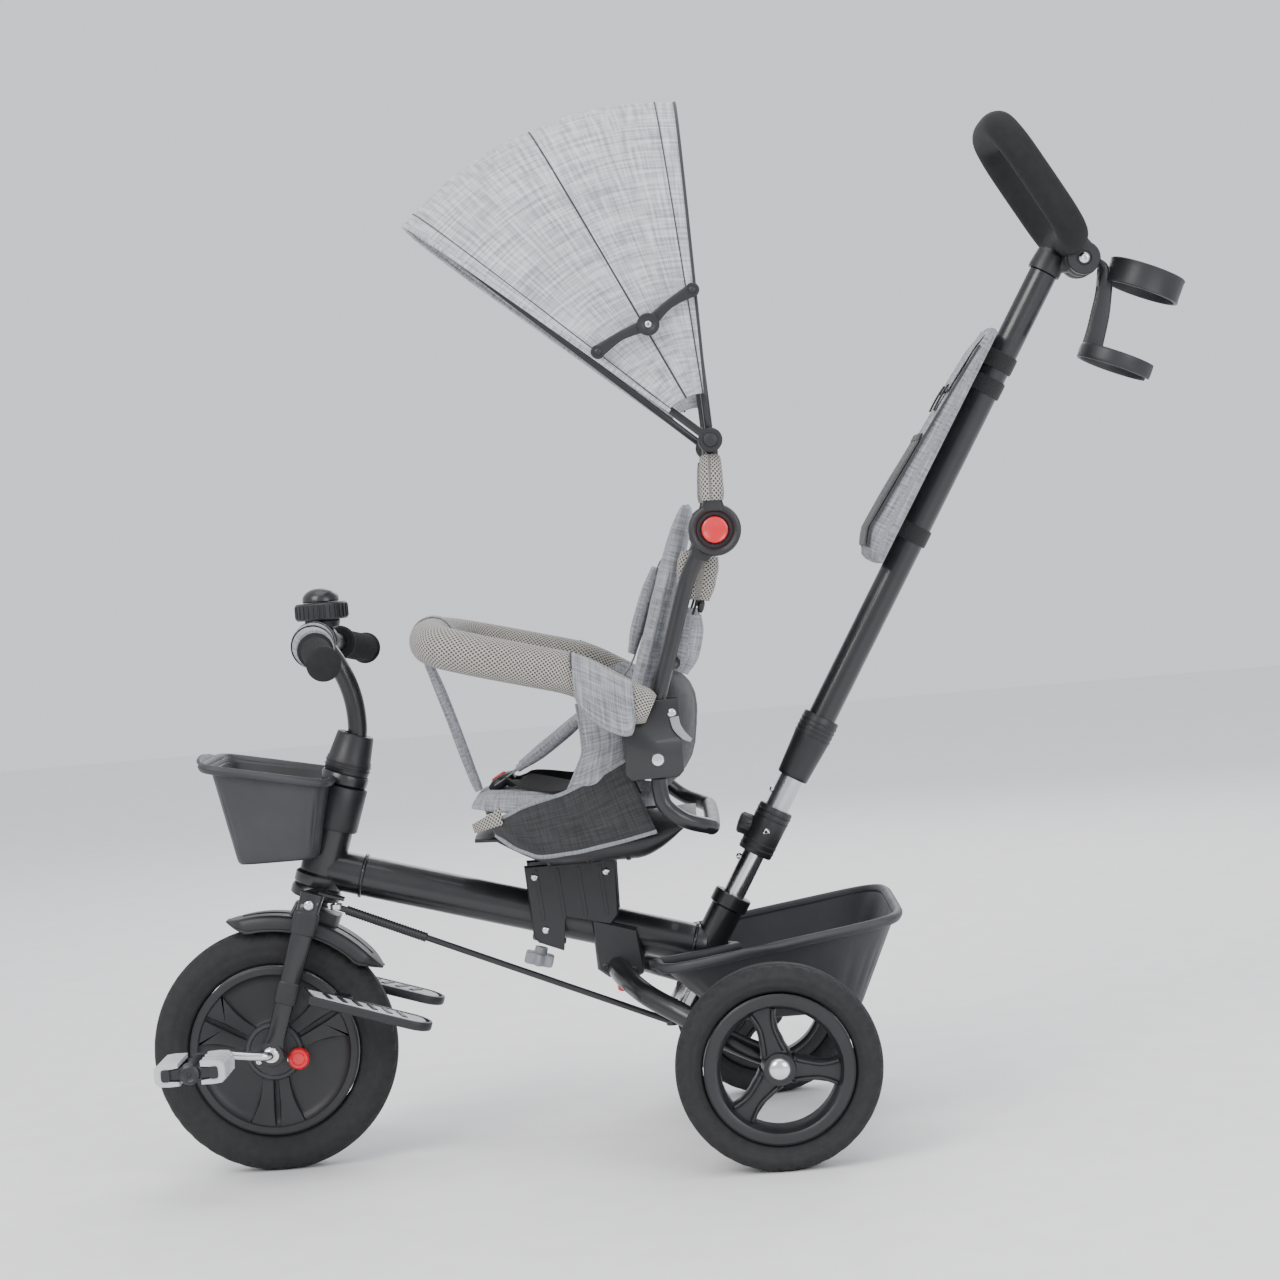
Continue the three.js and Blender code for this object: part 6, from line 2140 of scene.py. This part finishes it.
def hood_cloth():
    rows = []
    steps = 44
    for i in range(steps + 1):
        s = i / steps
        degrees = HOOD_REAR - 1.5 + s * (HOOD_FRONT - HOOD_REAR + 3.0)
        radius = REACH_REAR + s * (REACH_FRONT - REACH_REAR)
        half = HOOD_HALF - 1
        billow = 2.4 * math.sin(math.pi * s) * abs(math.sin(2 * math.pi * s)) ** 0.6
        row = []
        for t in even_turns(72):
            lift = billow * math.sin(math.radians(t)) ** 0.5 if 0 < t < 180 else 0.0
            pucker = 0.45 * math.sin(t * 0.9 + s * 11) * math.sin(math.pi * s)
            t_low = max(t, 1.0) if t < 90 else min(t, 179.0)
            row.append(arch_point(half + 0.3 * lift, radius - 1.6 + lift + pucker, degrees, t_low))
        rows.append(row)
    cloth = skin("hood_looks", rows, HOOD_CLOTH, closed=False, caps=False, crease=70.0)
    return thicken(cloth, 1.3), rows


hood_piece, HOOD_ROWS = hood_cloth()
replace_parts(hood_piece, "canopy_hood")


def hood_blend(obj):
    """Cloth that spans the two bows."""

    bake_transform(obj)
    return obj


hood_blend(hood_piece)


def hood_line(row_share, lift, name, size, material, body=None):
    """A seam, binding or hem that follows the hood's arch."""
    index = row_share * (len(HOOD_ROWS) - 1)
    row = HOOD_ROWS[int(round(index))]
    centre = at(0, *HUB)
    points = []
    for p in row[::2]:
        way = p - centre
        way.x *= 0.6
        points.append(p + way.normalized() * (lift / 1000))
    made = sweep(name, points, size, material, 3, None, power=2.4, count=12)
    if body:
        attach(made, body)
    else:
        hood_blend(made)
    return made


hood_line(0.0, 0.2, "hood_piping_rear", (1.6, 1.6), SEAM, "canopy")
hood_line(0.06, 1.1, "hood_seam_rear", (0.7, 0.5), SEAM)
hood_line(0.5, 1.0, "hood_seam_mid", (1.1, 0.7), SEAM)
hood_line(0.95, 1.0, "hood_stitch_front", (0.6, 0.45), SEAM)
hood_line(1.0, 0.2, "hood_hem_front", (2.2, 2.2), HOOD_CLOTH, "hood_front")


def bow(name, degrees, radius, disc_x, material):
    inside = 13
    points = []
    for t in even_turns(36):
        points.append(arch_point(HOOD_HALF - inside, radius - inside, degrees, t))
    f = math.radians(degrees)
    for end, side in ((0, 1), (-1, -1)):
        points[end] = at(side * disc_x, HUB[0] - 9 * math.sin(f), HUB[1] + 9 * math.cos(f))
    parts = [tube(name, points, 4.0, material, 4, count=18)]
    for side in (1, -1):
        disc = [
            (disc_x - 3.4, 4.3), (disc_x - 3.4, 11), (disc_x - 2.4, 12), (disc_x + 2.4, 12),
            (disc_x + 3.4, 11), (disc_x + 3.4, 4.3),
        ]
        parts.append(
            turned(f"{name}_disc_{side}", sided(disc, side), at(0, *HUB), ACROSS, BLACK, 40, lap=True)
        )
    return joined(name, parts)


put(bow("rear_bow_looks", HOOD_REAR, REACH_REAR, 164, STEEL), "canopy", "frame_black", "rear_bow")
put(bow("front_bow_looks", HOOD_FRONT, REACH_FRONT, 173, STEEL), "hood_front", "frame_black", "front_bow")


def strut(side):
    parts = []
    place = at(0, -18.8, 627)
    disc = [
        (160.4, 5), (160.4, 24.6), (162, 26), (168.4, 26), (170.6, 24.8), (171.4, 22.4), (170.6, 19.6),
        (168.6, 17.4), (168.2, 14.2), (163.4, 13.9), (163.4, 5),
    ]
    parts.append(turned(f"strut_{side}", sided(disc, side), place, ACROSS, BLACK, 56, lap=True))
    post = places(
        (
            (167, -18.8, 646), (167.5, -18.6, 660), (166.5, -18.4, 670), (163, -18, 682), (155, -17.2, 699),
            (152, -16.4, 712),
        ),
        side,
    )
    sizes = [(5.6, 12), (6.6, 9.0), (7.6, 8.2), (8, 8), (8, 8), (7.8, 7.8)]
    parts.append(sweep(f"strut_post_{side}", post, sizes, STEEL, 6, ACROSS, power=2.4, count=26))
    boss = [
        (144, 4), (144, 11), (145.2, 12), (158.8, 12), (160, 11), (160, 4.2), (176.4, 4.0), (176.6, 7.2),
        (178.4, 6.6), (179.2, 4.0), (179.2, 0.05),
    ]
    parts.append(turned(f"strut_boss_{side}", sided(boss, side), at(0, *HUB), ACROSS, BLACK, 36))
    return joined(f"strut_{side}", parts)


for label, side in SIDES:
    put(strut(side), "canopy_strut", "frame_black", f"canopy_strut_{label}")
    sleeve = places(
        (
            (167.2, -18.7, 656), (167, -18.5, 664), (164.8, -18.1, 677), (159, -17.6, 690),
            (155.6, -17.2, 698),
        ),
        side,
    )
    cover_piece = sweep(
        f"strut_sleeve_{label}", sleeve,
        [(9.4, 11.0), (10.4, 12.0), (10.4, 11.6), (10.2, 11.0), (9.0, 10.0)], MESH, 6, ACROSS, power=2.4,
        count=36,
    )
    put(cover_piece, "canopy_strut", "mesh_beige")
    press = [
        (165.0, 4), (165.0, 13.1), (174.4, 13.1), (175.6, 12.4), (176.0, 11.2), (175.4, 10.0),
        (175.0, 0.05),
    ]
    knob_piece = turned(
        f"tilt_button_{label}_looks", sided(press, side), at(0, -18.8, 627), ACROSS, RED, 44,
    )
    put(knob_piece, f"tilt_button_{label}", "plastic_red", f"tilt_button_{label}")
    bolt(
        f"strut_rivet_{label}", at(side * 172.6, -18.4, 668), (side, 0, 0), 3.4, "canopy_strut", CHROME,
        2.0,
    )


def stay_arm(name, start, end, x, side, extra=None):
    """A crescent arm between two pins."""
    a = (HUB[0] + start[0], HUB[1] + start[1])
    b = (HUB[0] + end[0], HUB[1] + end[1])
    mid = ((a[0] + b[0]) / 2, (a[1] + b[1]) / 2)
    away = (-(b[1] - a[1]), b[0] - a[0])
    size = math.hypot(*away)
    sense = 1.0 if away[1] > 0 else -1.0
    bend = (mid[0] + sense * away[0] / size * 3.0, mid[1] + sense * away[1] / size * 3.0)
    points = [at(side * (x + 2), *p) for p in (a, bend, b)]
    parts = [
        sweep(name, points, [(1.9, 6.4), (1.9, 4.6), (1.9, 6.4)], BLACK, 12, ACROSS, power=4.0, count=18)
    ]
    for n, (y, z) in enumerate((a, b)):
        eye = [
            (x, 0.05), (x, 6.2), (x + 0.6, 7), (x + 3.4, 7), (x + 4, 6.2), (x + 4, 3.4), (x + 5.6, 3.2),
            (x + 6.2, 2.2), (x + 6.3, 0.05),
        ]
        if extra is not None and n == extra:
            eye = [
                (x, 0.05), (x, 10.4), (x + 0.8, 11), (x + 5.4, 11), (x + 6.4, 10.0), (x + 6.6, 7.0),
                (x + 5.8, 5.6), (x + 5.8, 0.05),
            ]
        parts.append(turned(f"{name}_eye_{n}", sided(eye, side), at(0, y, z), ACROSS, BLACK, 32))
    return joined(name, parts)


PIN_REAR, PIN_KNEE, PIN_FRONT = (-5.6, 146), (-51, 116), (-102, 93.5)
for label, side in SIDES:
    put(
        stay_arm(f"stay_rear_{label}_looks", PIN_REAR, PIN_KNEE, 187.0, side), f"stay_rear_{label}",
        "plastic_black", f"stay_rear_{label}",
    )
    put(
        stay_arm(f"stay_front_{label}_looks", PIN_KNEE, PIN_FRONT, 191.4, side, 0), f"stay_front_{label}",
        "plastic_black", f"stay_front_{label}",
    )
    bolt(
        f"stay_rivet_{label}", at(side * 196.6, HUB[0] + PIN_KNEE[0], HUB[1] + PIN_KNEE[1]), (side, 0, 0),
        3.4, f"stay_front_{label}", CHROME, 1.8,
    )
    bolt(
        f"stay_pin_{label}", at(side * 194.8, HUB[0] + PIN_FRONT[0], HUB[1] + PIN_FRONT[1]), (side, 0, 0),
        3.0, f"stay_front_{label}", CHROME, 1.8,
    )
    bolt(
        f"stay_foot_{label}", at(side * 190.6, HUB[0] + PIN_REAR[0], HUB[1] + PIN_REAR[1]), (side, 0, 0),
        3.0, f"stay_rear_{label}", CHROME, 1.8,
    )
clip_points = [at(x, HUB[0] - 15.6, HUB[1] + 340) for x in (-14, -5, 5, 14)]
put(
    sweep(
        "hood_clip", clip_points, [(2.0, 6), (2.6, 8), (2.6, 8), (2.0, 6)], BLACK, 4, ALONG, power=3.4,
        count=16,
    ),
    "canopy", "fabric_black",
)

# ---------------------------------------------------------------- CAD pieces that carry over

FINISHES = {
    "frame_black": STEEL,
    "steel": CHROME,
    "plastic_black": BLACK,
    "plastic_red": RED,
    "plastic_grey": GREY,
    "foam_black": FOAM,
    "tyre_black": TYRE,
    "fabric_grey": GREY_CLOTH,
    "mesh_beige": MESH,
    "fabric_black": BLACK_CLOTH,
}
SLOT_OF = {}
for entry in frame["record"]["subparts"]:
    SLOT_OF[entry["node"]] = entry["material_slot"]
for node_name, node_obj in frame["nodes"].items():
    if node_obj.hide_render:
        continue
    node_obj.data.materials.clear()
    node_obj.data.materials.append(FINISHES[SLOT_OF.get(node_name, "frame_black")])

# ---------------------------------------------------------------- floor, light and camera

bpy.ops.mesh.primitive_plane_add(size=14.0, location=(0, 0, 0))
floor = bpy.context.object
floor.name = "floor"
floor.data.materials.append(finish("pale_floor", (0.88, 0.88, 0.88), 0.6, 0.0, 0.04, 60.0, 0.02))

world = bpy.data.worlds.new("studio")
bpy.context.scene.world = world
world.use_nodes = True
world.node_tree.nodes["Background"].inputs["Color"].default_value = (0.93, 0.95, 1.0, 1.0)
world.node_tree.nodes["Background"].inputs["Strength"].default_value = 1.05


def lamp(name, place, target, size, power, tint=(1.0, 1.0, 1.0)):
    """A large soft light aimed at a point."""
    light = bpy.data.lights.new(name, "AREA")
    light.shape = "RECTANGLE"
    light.size, light.size_y = size
    light.energy = power
    light.color = tint
    obj = bpy.data.objects.new(name, light)
    bpy.context.scene.collection.objects.link(obj)
    way = Vector(target) - Vector(place)
    obj.matrix_world = Matrix.Translation(place) @ way.to_track_quat("-Z", "Y").to_matrix().to_4x4()


lamp("key", (2.4, -1.9, 2.6), (0, 0, 0.45), (1.8, 1.8), 84, (1.0, 0.98, 0.95))
lamp("fill", (2.6, 2.2, 1.5), (0, 0, 0.45), (2.2, 1.6), 42, (0.95, 0.97, 1.0))
lamp("top", (0.2, 0.0, 3.2), (0, 0, 0.4), (2.4, 2.4), 34)
lamp("back", (-2.8, 0.6, 2.0), (0, 0, 0.6), (2.4, 1.6), 34)

# The photograph's point of view.
EYE = Vector((3.157, 0.0193, 0.635))
AIM = Vector((0.0, -0.0258, 0.519))
ahead = (AIM - EYE).normalized()
right = ahead.cross(Vector((0.0, 0.0837, 0.9965))).normalized()
above = right.cross(ahead)
camera_data = bpy.data.cameras.new("camera")
camera_data.lens = 85.6
camera_data.sensor_width = 36.0
camera = bpy.data.objects.new("camera", camera_data)
bpy.context.scene.collection.objects.link(camera)
camera.matrix_world = Matrix(
    (
        (right.x, above.x, -ahead.x, EYE.x),
        (right.y, above.y, -ahead.y, EYE.y),
        (right.z, above.z, -ahead.z, EYE.z),
        (0, 0, 0, 1),
    )
)
bpy.context.scene.camera = camera
